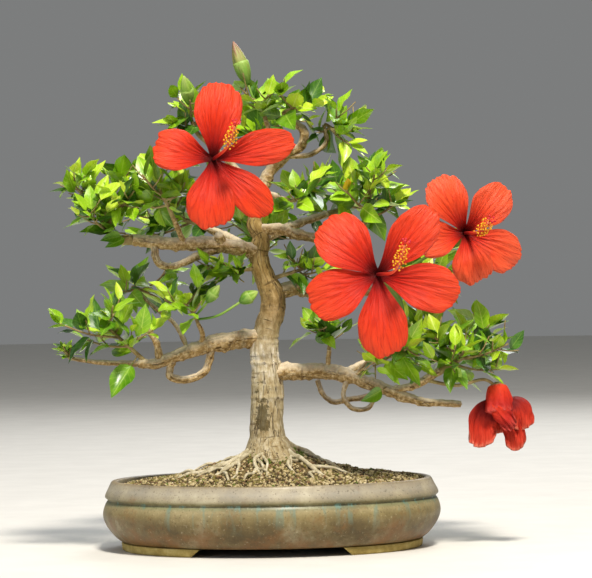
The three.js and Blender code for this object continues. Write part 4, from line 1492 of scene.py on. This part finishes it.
@dataclass
class Foliage:
    """Twigs and leaves of all the masses, by the growth rule of the part carried to finer twigs."""

    leaf_spacing: float = 5.8
    rule_length: float = 30.0
    width: float = 0.48
    stem_radius: float = 2.0
    twiglet_reach: Point = (11, 20)
    twiglet_leaves: int = 3
    twiglet_leaf_length: Point = (13, 27)
    young_share: float = 0.6
    tip_margin: float = 1.06
    wood_margin: float = 2.0
    bloom_margin: float = 13.0
    bud_margin: float = 6.0
    petiole: float = 0.18
    faded_spot: Point = (66, -50, 290)
    first_seed: int = 11
    seed_step: int = 7
    blade_seed: int = 31
    blade_columns: int = 5
    # Tints dealt in turn to shoots and short twigs: leaf ages, and the shaded tint as painted shade
    ages: tuple[Tint, ...] = (Tint.GROWN, Tint.FRESH, Tint.SHADED, Tint.FRESH)
    # Feet, tips and facing directions of leaves that stand alone
    lone_leaves: tuple[Points, ...] = (
        ((-104, -20.5, 155.7), (-125, -39, 124), (0, -1, 0.3)),
        ((-112, -25, 252), (-148, -34, 255), (0, -0.6, 1)),
        ((-110, -26, 251), (-131, -37, 247), (0, -1, 0.6)),
        ((-108, -25, 250), (-127, -36, 242), (0.2, -1, 0.4)),
        ((93, -21, 127.5), (74, -40, 117), (0, -1, 0.3)),
    )
    # Places along a leaf and its half-widths there
    outline: Points = (
        (0.0, 0.03), (0.1, 0.035), (0.14, 0.36), (0.22, 0.73), (0.34, 0.97),
        (0.48, 1.0), (0.62, 0.88), (0.76, 0.62), (0.88, 0.3), (1.0, 0.0),
    )

    def __post_init__(self) -> None:
        """Start with no leaves and no twigs."""
        self.leaves: list[SingleLeaf] = []
        self.twigs: list[Surface] = []

    def stem(self, mass: Mass) -> Path:
        """Return a mass's stem: on from its limb's tip, then to the middle of its space."""
        middle = np.array(mass.middle, float)
        if mass.start is not None:
            start = np.array(mass.start, float)
            return Path([start, start + 0.6 * (middle - start), middle])
        limb = Path(LIMBS[mass.limb].path)
        tip = limb.at(1.0)
        bend = tip + limb.heading(1.0) * 0.4 * np.linalg.norm(middle - tip)
        return Path([tip, bend, middle])

    def twig(self, mass: Mass, stem: Path, number: int, seed: int, random: Iterator[float]) -> Path:
        """Run a twig from the stem to its place in the mass's space.

        Args:
            mass: The mass.
            stem: Its stem.
            number: Number of the twig, from the stem's end downwards.
            seed: The mass's seed.
            random: Its random numbers.

        Returns:
            The twig's path, slightly bowed.
        """
        share = (number + 0.5) / mass.twigs
        rise = 0.92 - 1.55 * share
        turn = number * GOLDEN_ANGLE + seed + 0.5 * next(random)
        flat = math.sqrt(1 - rise * rise)
        room = np.array(mass.reach, float)
        room = np.maximum(room - 0.5 * self.rule_length * mass.size, 0.35 * room)
        aim = np.array(mass.middle) + room * [flat * math.cos(turn), flat * math.sin(turn), rise]
        start = stem.at(1 - 0.62 * share)
        sag = np.array([0, 0, -0.06 * np.linalg.norm(aim - start)])
        return Path([start, 0.5 * (start + aim) + sag, aim], fine=8)

    @staticmethod
    def stance(path: Path, place: float, share: float, turn: float) -> tuple[Array, Array, Array]:
        """Stand a leaf on a shoot at an angle that narrows towards its tip.

        Args:
            path: The shoot.
            place: Share of its length where the leaf stands.
            share: Number of the leaf as a share of all on the shoot.
            turn: Angle round the shoot.

        Returns:
            The leaf's foot, its direction and the direction that its upper side faces.
        """
        tangent = path.heading(place)
        spread = 1.3 - 0.85 * share
        side = unit(np.cross(UP, tangent))
        round_it = side * math.cos(turn) + np.cross(tangent, side) * math.sin(turn)
        along = unit(tangent * math.cos(spread) + round_it * math.sin(spread) + 0.12 * UP)
        return path.at(min(place, 0.97)), along, 0.6 * tangent + [0, -0.15, 0.8]

    def leaf_shoot(
        self, path: Path, random: Iterator[float], tints: tuple[Tint, Tint], size: float
    ) -> None:
        """Set leaves along a shoot as the part's rule does, with more between them.

        Args:
            path: The shoot.
            random: Random numbers of its mass.
            tints: Ages of the leaves at its foot and at its tip; the foot's may be the darker tint
                of painted shade.
            size: Leaf size of its mass, as a part of the rule's.
        """
        count = max(4, round(0.7 * path.length / (self.leaf_spacing * size)))
        phase = 2 * math.pi * next(random)
        longest = self.rule_length * size
        for number in range(count):
            share = number / (count - 1)
            turn = phase + number * GOLDEN_ANGLE + 0.4 * next(random)
            length = longest * (1.1 - 0.45 * share) * (0.82 + 0.3 * next(random))
            stance = self.stance(path, 0.3 + 0.7 * share, share, turn)
            self.leaves.append(SingleLeaf(*stance, length, tints[share > self.young_share]))
        for number in range(0, count - 1, 2):
            share = (number + 0.5) / (count - 1)
            turn = phase + number * GOLDEN_ANGLE + math.pi
            stance = self.stance(path, 0.3 + 0.7 * share, share, turn)
            length = longest * (0.85 - 0.3 * share)
            self.leaves.append(SingleLeaf(*stance, length, tints[share > self.young_share]))

    def twiglet(
        self, path: Path, mass: Mass, number: int, seed: int, fine: np.random.Generator
    ) -> None:
        """Grow a short twig with its leaves on a twig.

        Args:
            path: The twig that bears it.
            mass: The mass.
            number: Number of the short twig.
            seed: The mass's seed.
            fine: Random numbers of the mass's short twigs.
        """
        place = 0.35 + 0.6 * (number + fine.random()) / mass.twiglets
        turn = number * GOLDEN_ANGLE + fine.random()
        foot, along, _ = self.stance(path, place, 0.35, turn)
        reach = fine.uniform(*self.twiglet_reach) * mass.size
        tip = foot + along * reach + 2.0 * UP
        shoot = Path([foot, foot + along * reach * 0.5, tip], fine=5)
        self.twigs.append(tube(shoot, taper(0.7, 0.45), 5, 4))
        phase = 2 * math.pi * fine.random()
        for leaf in range(self.twiglet_leaves):
            share = (leaf + 0.6) / self.twiglet_leaves
            stance = self.stance(shoot, share, share, phase + leaf * GOLDEN_ANGLE)
            tint = Tint.YOUNG if share > 0.8 else self.ages[(number + leaf + seed) % len(self.ages)]
            length = fine.uniform(*self.twiglet_leaf_length) * mass.size
            self.leaves.append(SingleLeaf(*stance, length, tint))

    def grow(self, name: str, mass: Mass, seed: int) -> None:
        """Grow one mass: stem, twigs, short twigs and their leaves.

        Args:
            name: Node name of the mass.
            mass: Its place and size.
            seed: Its seed in the part's rule.
        """
        random = seeded(seed)
        stem = self.stem(mass)
        foot = self.stem_radius if mass.start is not None else LIMBS[mass.limb].radii[1]
        twigs = [self.twig(mass, stem, i, seed, random) for i in range(mass.twigs)]
        self.twigs.append(tube(stem, taper(foot, 1.1), 7, 14))
        self.twigs.extend(tube(path, taper(1.15, 0.65), 6, 8) for path in twigs)
        first = len(self.leaves)
        for number, path in enumerate([stem, *twigs]):
            foot_tint = self.ages[(number + seed) % len(self.ages)]
            tip_age = Tint.YOUNG if number % 2 == 0 else Tint.FRESH
            self.leaf_shoot(path, random, (foot_tint, tip_age), mass.size)
        fine = np.random.default_rng(seed)
        for path in [stem, *twigs]:
            for number in range(mass.twiglets):
                self.twiglet(path, mass, number, seed, fine)
        tried = len(self.leaves) - first
        self.prune(mass, first)
        LOG.info("%s: %d of %d leaves", name, len(self.leaves) - first, tried)

    def prune(self, mass: Mass, first: int) -> None:
        """Drop the leaves of a mass that leave its space, touch wood or stand before a flower.

        Args:
            mass: The mass.
            first: Number of its first leaf.
        """
        leaves = self.leaves[first:]
        base = np.array([leaf.base for leaf in leaves])
        whole = np.array([leaf.along * leaf.length for leaf in leaves])
        out = np.linalg.norm((base + whole - mass.middle) / np.array(mass.reach), axis=1)
        kept = out <= self.tip_margin
        for share in (0.35, 0.7, 1.0):
            spots = base + whole * share
            kept &= self.clear_of_wood(spots) & self.clear_of_blooms(spots)
            kept &= self.clear_of_buds(spots)
        self.leaves[first:] = [leaf for leaf, keep in zip(leaves, kept) if keep]

    def clear_of_wood(self, spots: Array) -> Array:
        """Return whether each spot is 2 mm or more outside every limb."""
        clear = np.ones(len(spots), bool)
        shares = np.linspace(0, 1, 40)
        for limb in LIMBS.values():
            line = Path(limb.path).at(shares)
            gap = np.linalg.norm(spots[:, None] - line, axis=2) - taper(*limb.radii)(shares)
            clear &= gap.min(axis=1) > self.wood_margin
        return clear

    def clear_of_blooms(self, spots: Array) -> Array:
        """Return whether each spot is behind the petals of every flower or beside them."""
        clear = np.ones(len(spots), bool)
        for bloom in BLOOMS.values():
            away = spots - np.array(bloom.middle)
            face = -(bloom.lean[0] * away[:, 0] + bloom.lean[1] * away[:, 2])
            widest = max(petal[1] for petal in bloom.petals)
            over = np.hypot(away[:, 0], away[:, 2]) < widest * 0.96
            clear &= ~(over & (away[:, 1] < face + self.bloom_margin))
        return clear

    def clear_of_buds(self, spots: Array) -> Array:
        """Return whether each spot is behind every bud or 6 mm or more beside it."""
        clear = np.ones(len(spots), bool)
        for bud in BUDS:
            stalk = Path(bud.stalk)
            end = stalk.at(1.0)
            line = end + stalk.heading(1.0) * np.linspace(0, bud.length, 8)[:, None]
            away = spots[:, None] - line
            beside = np.hypot(away[..., 0], away[..., 2]).min(axis=1)
            clear &= (beside > bud.radius + self.bud_margin) | (spots[:, 1] > end[1] + 2)
        return clear

    def blades(self, tint: Tint) -> Surface:
        """Shape all the leaves of one tint: one age, or the darker painted shade.

        A point lies s * length along the leaf and t * width(s) across it; it rises with |t| for the
        fold at the midrib, waves near the edge and sinks with s squared.

        Args:
            tint: The age, or the painted shade.

        Returns:
            All its leaves as one surface.
        """
        rows = np.array(self.outline)
        flat = to_points(rows[:, :1], np.linspace(-1, 1, self.blade_columns) * rows[:, 1:], 0)
        template = Surface.from_grid(flat, closed=False, pole_start=False)
        s, t = template.points[:, 0], template.points[:, 1]
        leaves = [leaf for leaf in self.leaves if leaf.tint is tint]
        along = np.array([leaf.along for leaf in leaves])
        length = np.array([leaf.length for leaf in leaves])[:, None]
        level = unit(np.cross([leaf.facing for leaf in leaves], along))
        above = np.cross(along, level)
        random = np.random.default_rng(self.blade_seed + len(tint.value))
        column = (len(leaves), 1)
        roll = random.normal(0, 0.35, column)
        across = level * np.cos(roll) + above * np.sin(roll)
        upward = above * np.cos(roll) - level * np.sin(roll)
        wide = self.width * random.uniform(0.74, 1.2, column) * 0.5
        fold = random.uniform(0.1, 0.5, column)
        sink = random.uniform(-0.04, 0.24, column)
        sway = random.uniform(0.0, 0.07, column)
        wave = sway * np.sin(2 * np.pi * (1.6 * s + random.random(column)))
        w = (np.abs(t) * wide * fold + wave * np.abs(t) - sink * s**2) * length
        places = np.array([leaf.base for leaf in leaves])[:, None]
        for part, axis in ((s * length, along), (t * wide * length, across), (w, upward)):
            places = places + part[..., None] * axis[:, None]
        return Surface.copies(template, places)

    def build(self, bench: Bench) -> None:
        """Grow all the masses and place twigs and leaves."""
        for number, (name, mass) in enumerate(MASSES.items()):
            self.grow(name, mass, self.first_seed + self.seed_step * number)
        for foot, tip, facing in self.lone_leaves:
            way = np.array(tip, float) - foot
            start = foot + self.petiole * way
            length = float(np.linalg.norm((1 - self.petiole) * way))
            self.twigs.append(tube(Path([foot, start]), taper(0.7, 0.6), 5, 4))
            self.leaves.append(SingleLeaf(start, unit(way), np.array(facing), length, Tint.GROWN))
        middles = np.array([leaf.base + 0.5 * leaf.along * leaf.length for leaf in self.leaves])
        nearest = np.linalg.norm(middles - self.faded_spot, axis=1).argmin()
        self.leaves[int(nearest)].tint = Tint.FADED
        nodes = list(MASSES)
        bench.place("twigs", Surface.join(self.twigs), TWIG_BARK.build(), Slot.LEAF, nodes)
        for tint in Tint:
            skin = LEAF_SKINS[tint].build()
            bench.place(f"{tint.value}_leaves", self.blades(tint), skin, Slot.LEAF, nodes)
        LOG.info("%d leaves in all", len(self.leaves))


@dataclass(frozen=True)
class Lobe:
    """A hanging lobe of the spent flower: middle line, full width, facing direction and cupping."""

    line: Points
    width: float
    facing: Point
    cup: float


@dataclass
class Flowers:
    """Open flowers, the spent flower and the buds."""

    throat: float = 22.0
    thickness: float = 0.5
    petal_rows: int = 36
    petal_columns: int = 45
    lobe_rows: int = 30
    lobe_columns: int = 29
    anthers: int = 64
    anther_share: Point = (0.7, 0.97)
    stalk_radii: Point = (1.5, 1.2)
    seed: int = 41
    bud_stalk_radius: float = 1.0
    spent_stalk: Points = ((124, -20.6, 132), (148, -31, 128), (170, -26, 132), (180, -22, 126))
    spent_trumpet: Points = ((0, 0, 1), (0.8, -0.6, -8), (1.4, -1.5, -19))
    spent_lobes: tuple[Lobe, ...] = (
        Lobe(((0, 4, -9), (1, 8, -24), (0, 6, -37)), 24, (0, -1, 0), 0.3),
        Lobe(((-5, -1, -11), (-14, -3, -25), (-15.5, -6, -47.5)), 25, (0.45, -1, 0.15), 0.5),
        Lobe(((7, -3, -10), (17, -6, -16), (18.5, -7, -34)), 22, (0.25, -1, 0.35), -0.35),
        Lobe(((5, -3, -17), (11.5, -6, -34), (14, -7, -50.5)), 17, (0.1, -1, 0.2), 0.3),
    )
    spent_fold: Lobe = Lobe(
        ((-6.5, -8.5, -11), (1, -14, -21), (11.5, -14, -33)), 15, (-0.45, -1, 0.1), -0.5
    )

    def petal(self, bloom: Bloom, petal: Point, number: int) -> Surface:
        """Shape a petal.

        At s along and t = sin(arc) across, it reaches out by length * s * (0.69 + 0.31 cos(arc)),
        which rounds its end; its half-width grows as a sine of s from a narrow claw, and it comes
        forward out of the throat as -(1 - s)^3. Its edge is ruffled, its face pleated and its end
        rolls back.

        Args:
            bloom: Its flower.
            petal: Angle in degrees, length and width.
            number: Number of the petal, which shifts its ruffles.

        Returns:
            The thin closed petal.
        """
        degrees, reach, width = petal
        angle = math.radians(degrees)
        s = np.linspace(0, 1, self.petal_rows)[:, None]
        arc = np.linspace(-1, 1, self.petal_columns)[None] * 0.5 * np.pi
        t = np.sin(arc)
        out = reach * (1.02 * s - 0.02) * (0.69 + 0.31 * np.cos(arc))
        edge = to_points(3.2 * t, 9.7 * number + s, 0)
        out = out + 2.2 * s**5 * value_noise(edge, 12) + 1.1 * s**6 * value_noise(3 * edge, 14)
        half = 0.5 * width * (0.13 + 0.84 * np.sin(0.5 * np.pi * np.minimum(s / 0.86, 1) ** 1.6))
        ruffle = (
            1.1 * np.sin(4.5 * t + 2.1 * number + 2 * s) * s**2
            + 1.4 * np.sin(6 * s + number) * t**2 * s
            + 2.2 * (t**2 - 0.3) * s * (1 - 0.5 * s)
            + 0.42 * np.sin(21 * t + 3 * np.sin(4 * s + number)) * np.sin(np.pi * s)
            + 0.9 * value_noise(to_points(5 * t, 6 * s, float(number)), 13) * s
        )
        forward = -self.throat * (1 - s) ** 3 - 7 * s**4 + 3 * t * s + ruffle
        x = out * math.cos(angle) - t * half * math.sin(angle)
        z = out * math.sin(angle) + t * half * math.cos(angle)
        forward = forward + bloom.lean[0] * x + bloom.lean[1] * z
        grid = to_points(x, -forward, z) + np.array(bloom.middle)
        return Surface.sheet(grid, grid + np.array([0, self.thickness, 0]))

    def column(self, bloom: Bloom) -> tuple[Surface, Surface, Surface]:
        """Build a stamen column: a slim tube, anthers on its outer part, five stigma pads.

        Args:
            bloom: Its flower.

        Returns:
            Tube with filaments, anthers, and stigma pads.
        """
        middle = np.array(bloom.middle, float)
        foot = middle + [0, self.throat - 2, 0]
        path = Path([foot, *(middle + offset for offset in np.array(bloom.column, float))])
        rods = [tube(path, lambda share: 1.5 - 0.65 * share, 10, 30)]
        random = np.random.default_rng(self.seed)
        shares = np.linspace(*self.anther_share, self.anthers)
        middles, side, over = rings(path, shares)
        turn = np.arange(self.anthers)[:, None] * GOLDEN_ANGLE
        outward = side * np.cos(turn) + over * np.sin(turn) + 0.35 * path.heading(shares)
        heads = middles + unit(outward) * random.uniform(2.4, 5.4, self.anthers)[:, None]
        for start, head in zip(middles, heads):
            rods.append(tube(Path([start, head], fine=2), taper(0.2, 0.2), 3, 1))
        ball = grain_template()
        size = random.uniform(0.6, 0.85, (self.anthers, 1, 1))
        dust = Surface.copies(ball, heads[:, None] + ball.points * size)
        tip, ahead = path.at(1.0), path.heading(1.0)
        fan = full_turn(5)[:, None]
        pads = tip + 3.0 * (np.cos(fan) * side[-1] + np.sin(fan) * over[-1]) + 4.2 * ahead
        for pad in pads:
            bent = Path([tip, tip + 0.5 * (pad - tip) + ahead, pad])
            rods.append(tube(bent, taper(0.4, 0.4), 5, 5))
        return Surface.join(rods), dust, Surface.copies(ball, pads[:, None] + ball.points)

    def stalk(self, path: Path, line: Sequence[Array]) -> Surface:
        """Build a stalk with a calyx: a cup swollen in five ribs towards its edge.

        Args:
            path: Middle line of the stalk.
            line: Points of the cup's axis, from the stalk to the back of the petals.

        Returns:
            Stalk and cup.
        """

        def ribs(points: Array, shares: Array, angles: Array) -> Array:
            """Raise five ribs that grow along the cup."""
            del points
            return 0.5 * shares * np.cos(5 * angles)

        def swell(share: Array) -> Array:
            """Return the cup's radius along its axis."""
            return 1.4 + 4.2 * np.sin(np.pi * 0.5 * share)

        cup = tube(Path(line), swell, 30, 18, ribs, dome=0.1)
        return Surface.join([tube(path, taper(*self.stalk_radii), 10, 40), cup])

    def lobe(self, start: Array, lobe: Lobe) -> Surface:
        """Shape one hanging lobe of the spent flower.

        At s along and t = sin(arc) across, a point lies at the share s * (0.72 + 0.28 cos(arc)) of
        the line, moved sideways by t times a half-width that grows as a sine of s, and out of the
        plane by cup * t^2 and by creases.

        Args:
            start: Place that the line's points are measured from.
            lobe: Its line and sizes.

        Returns:
            The thin closed lobe.
        """
        s = np.linspace(0, 1, self.lobe_rows)[:, None]
        arc = np.linspace(-1, 1, self.lobe_columns)[None] * 0.5 * np.pi
        t = np.sin(arc)
        path = Path(np.array(lobe.line, float) + start)
        share = s * (0.72 + 0.28 * np.cos(arc))
        half = 0.5 * lobe.width * (0.3 + 0.7 * np.sin(0.5 * np.pi * np.minimum(s / 0.7, 1)))
        across = unit(np.cross(path.heading(share), np.array(lobe.facing, float)))
        out = unit(np.cross(across, path.heading(share)))
        rise = (
            lobe.cup * t**2 * half
            + np.sin(9 * t + 4 * s) * s
            + 0.8 * np.sin(11 * s + 4 * t) * s
            + 2.2 * s**3 * np.sin(15 * t + lobe.width)
            + 1.3 * (t * s) ** 2 * np.sin(19 * s + lobe.width)
        )
        grid = path.at(share) + (t * half)[..., None] * across + rise[..., None] * out
        return Surface.sheet(grid, grid - self.thickness * out)

    def spent(self) -> tuple[Surface, Surface, Surface]:
        """Build the spent flower: a trumpet that opens as share^0.6, its lobes and one fold.

        Returns:
            Lobes, trumpet with the fold, and stalk with calyx.
        """
        stalk = Path(self.spent_stalk)
        end = stalk.at(1.0)
        axis = Path(end + np.array(self.spent_trumpet, float))

        def creases(points: Array, shares: Array, angles: Array) -> Array:
            """Crease the trumpet along its length, more towards its mouth."""
            del points
            return 0.9 * shares * (np.sin(5 * angles + 2 * shares) + 0.5 * np.sin(11 * angles))

        trumpet = tube(axis, lambda share: 6.8 + 5.4 * share**0.6, 64, 40, creases)
        lobes = Surface.join([self.lobe(end, lobe) for lobe in self.spent_lobes])
        outside = Surface.join([trumpet, self.lobe(end, self.spent_fold)])
        return lobes, outside, self.stalk(stalk, [end + 4 * UP, end + 0.5 * UP])

    def bud(self, bud: FlowerBud) -> tuple[Surface, Surface]:
        """Build a bud: a pointed egg with five ridges, in a cup, on its stalk.

        Args:
            bud: Its stalk and sizes.

        Returns:
            The bud, and the stalk with its cup.
        """
        stalk = Path(bud.stalk)
        end, heading = stalk.at(1.0), stalk.heading(1.0)

        def swell(share: Array) -> Array:
            """Return the egg's radius along its axis."""
            return 0.4 + bud.radius * np.sin(np.pi * np.minimum(share, 0.999) ** 0.75) ** 0.8

        def ridges(points: Array, shares: Array, angles: Array) -> Array:
            """Raise five ridges that turn a little along the bud."""
            del points
            return 0.09 * bud.radius * np.cos(5 * angles + 1.2 * shares) * np.sin(np.pi * shares)

        def flare(share: Array) -> Array:
            """Return the cup's radius along its axis."""
            return 1.0 + (bud.radius * 0.98) * np.sin(np.pi * 0.55 * share) ** 0.8

        body = tube(Path([end - heading, end + heading * bud.length]), swell, 30, 26, ridges)
        cup = tube(Path([end - heading * 2, end + heading * bud.length * 0.5]), flare, 20, 10)
        rod = tube(stalk, taper(self.bud_stalk_radius, self.bud_stalk_radius), 8, 14)
        return body, Surface.join([rod, cup])

    def build(self, bench: Bench) -> None:
        """Place every flower and bud."""
        petal_skin, pale_skin = PETAL_SKIN.build(), PALE_PETAL_SKIN.build()
        column_skin, dust_skin = COLUMN_SKIN.build(), ANTHER_DUST.build()
        stigma_skin, calyx_skin = STIGMA_SKIN.build(), CALYX_SKIN.build()
        for name, bloom in BLOOMS.items():
            petals = [self.petal(bloom, petal, i) for i, petal in enumerate(bloom.petals)]
            rods, dust, stigma = self.column(bloom)
            path = Path(bloom.stalk)
            throat = np.array(bloom.middle) + [0, self.throat + 2.0, 0]
            stalk = self.stalk(path, [path.at(0.86), path.at(1.0), throat])
            # The far right flower takes the paler skin: painted sheen
            skin = pale_skin if name == SHEEN_LIT_BLOOM else petal_skin
            for kind, shape, finish in (
                ("petals", Surface.join(petals), skin),
                ("column", rods, column_skin),
                ("anthers", dust, dust_skin),
                ("stigma", stigma, stigma_skin),
                ("stalk", stalk, calyx_skin),
            ):
                bench.place(f"{name}_{kind}", shape, finish, Slot.PETAL, [name])
        skins = [*SPENT_SKINS, TWIG_BARK]
        for kind, shape, skin in zip(("lobes", "trumpet", "stalk"), self.spent(), skins):
            bench.place(f"spent_{kind}", shape, skin.build(), Slot.SPENT, ["spent_flower"])
        opening, green = (skin.build() for skin in BUD_SKINS)
        for number, bud in enumerate(BUDS):
            body, stalk = self.bud(bud)
            skin = opening if number == 0 else green
            bench.place(f"{bud.mass}_bud_{number}", body, skin, Slot.LEAF, [bud.mass])
            bench.place(f"{bud.mass}_bud_stalk_{number}", stalk, calyx_skin, Slot.LEAF, [bud.mass])


@dataclass(frozen=True)
class Lamp:
    """A soft square light: its place in metres from the aim, side in metres, watts and colour."""

    name: str
    place: Point
    size: float
    power: float
    colour: str

    def build(self, aim: Array) -> None:
        """Add the light, facing a point in metres."""
        data = bpy.data.lights.new(self.name, "AREA")
        data.size = self.size
        data.energy = self.power
        data.color = to_linear(self.colour)[:3]
        made = bpy.data.objects.new(self.name, data)
        bpy.context.scene.collection.objects.link(made)
        spot = np.array(self.place, float)
        made.location = aim + spot
        away = unit(spot)
        made.rotation_euler = (math.acos(away[2]), 0, math.atan2(away[1], away[0]) + math.pi / 2)


@dataclass
class Studio:
    """Pale floor, soft lights and the camera."""

    camera: Point = (22, -2200, 206)
    sensor: float = 36.0
    view_width: float = 473.6
    roll: float = 0.0157
    aim_height: float = 0.2
    floor_radius: float = 9.0
    surroundings: str = "#E4E6E6"
    brightness: float = 0.26
    lamps: tuple[Lamp, ...] = (
        Lamp("key", (0.35, -1.5, 2.2), 0.42, 100, "#FFF7EA"),
        Lamp("sky", (0.1, -0.3, 2.2), 2.4, 16, "#E6EEFF"),
        Lamp("fill", (-1.8, -1.6, 0.7), 1.6, 12, "#EEF4FF"),
        Lamp("back", (0.6, 1.9, 1.4), 1.2, 22, "#FFFFFF"),
    )

    def build(self, bench: Bench) -> None:
        """Set up floor, lights, surroundings and camera."""
        scene = bpy.context.scene
        scene.view_settings.view_transform = "Standard"
        scene.view_settings.look = "None"
        world = bpy.data.worlds.new("studio")
        world.use_nodes = True
        backdrop = world.node_tree.nodes["Background"]
        backdrop.inputs["Color"].default_value = to_linear(self.surroundings)
        backdrop.inputs["Strength"].default_value = self.brightness
        scene.world = world
        for lamp in self.lamps:
            lamp.build(bench.middle + self.aim_height * UP)
        angles = -full_turn(96)
        ring = self.floor_radius * to_points(np.cos(angles), np.sin(angles), 0)
        flat = Surface.from_grid(np.stack([ring * 0, ring]), pole_end=False)
        bench.shape("floor", flat.points, flat, FLOOR_PAPER.build())
        lens = bpy.data.cameras.new("photo_camera")
        lens.sensor_width = self.sensor
        lens.lens = self.sensor * -self.camera[1] / self.view_width
        lens.clip_end = 50
        camera = bpy.data.objects.new("photo_camera", lens)
        scene.collection.objects.link(camera)
        camera.location = bench.middle + np.array(self.camera) * METRE
        camera.rotation_euler = (math.pi / 2, self.roll, 0)
        scene.camera = camera


def main() -> None:
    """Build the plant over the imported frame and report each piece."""
    logging.basicConfig(level=logging.INFO, format="%(message)s")
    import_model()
    low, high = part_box("pot")
    bench = Bench(np.array([(low[0] + high[0]) / 2, (low[1] + high[1]) / 2, 0.0]))
    soil = SoilBed()
    for assembly in (Studio(), OvalPot(), soil, Wood(soil), Flowers(), Foliage()):
        assembly.build(bench)


if __name__ == "__main__":
    main()
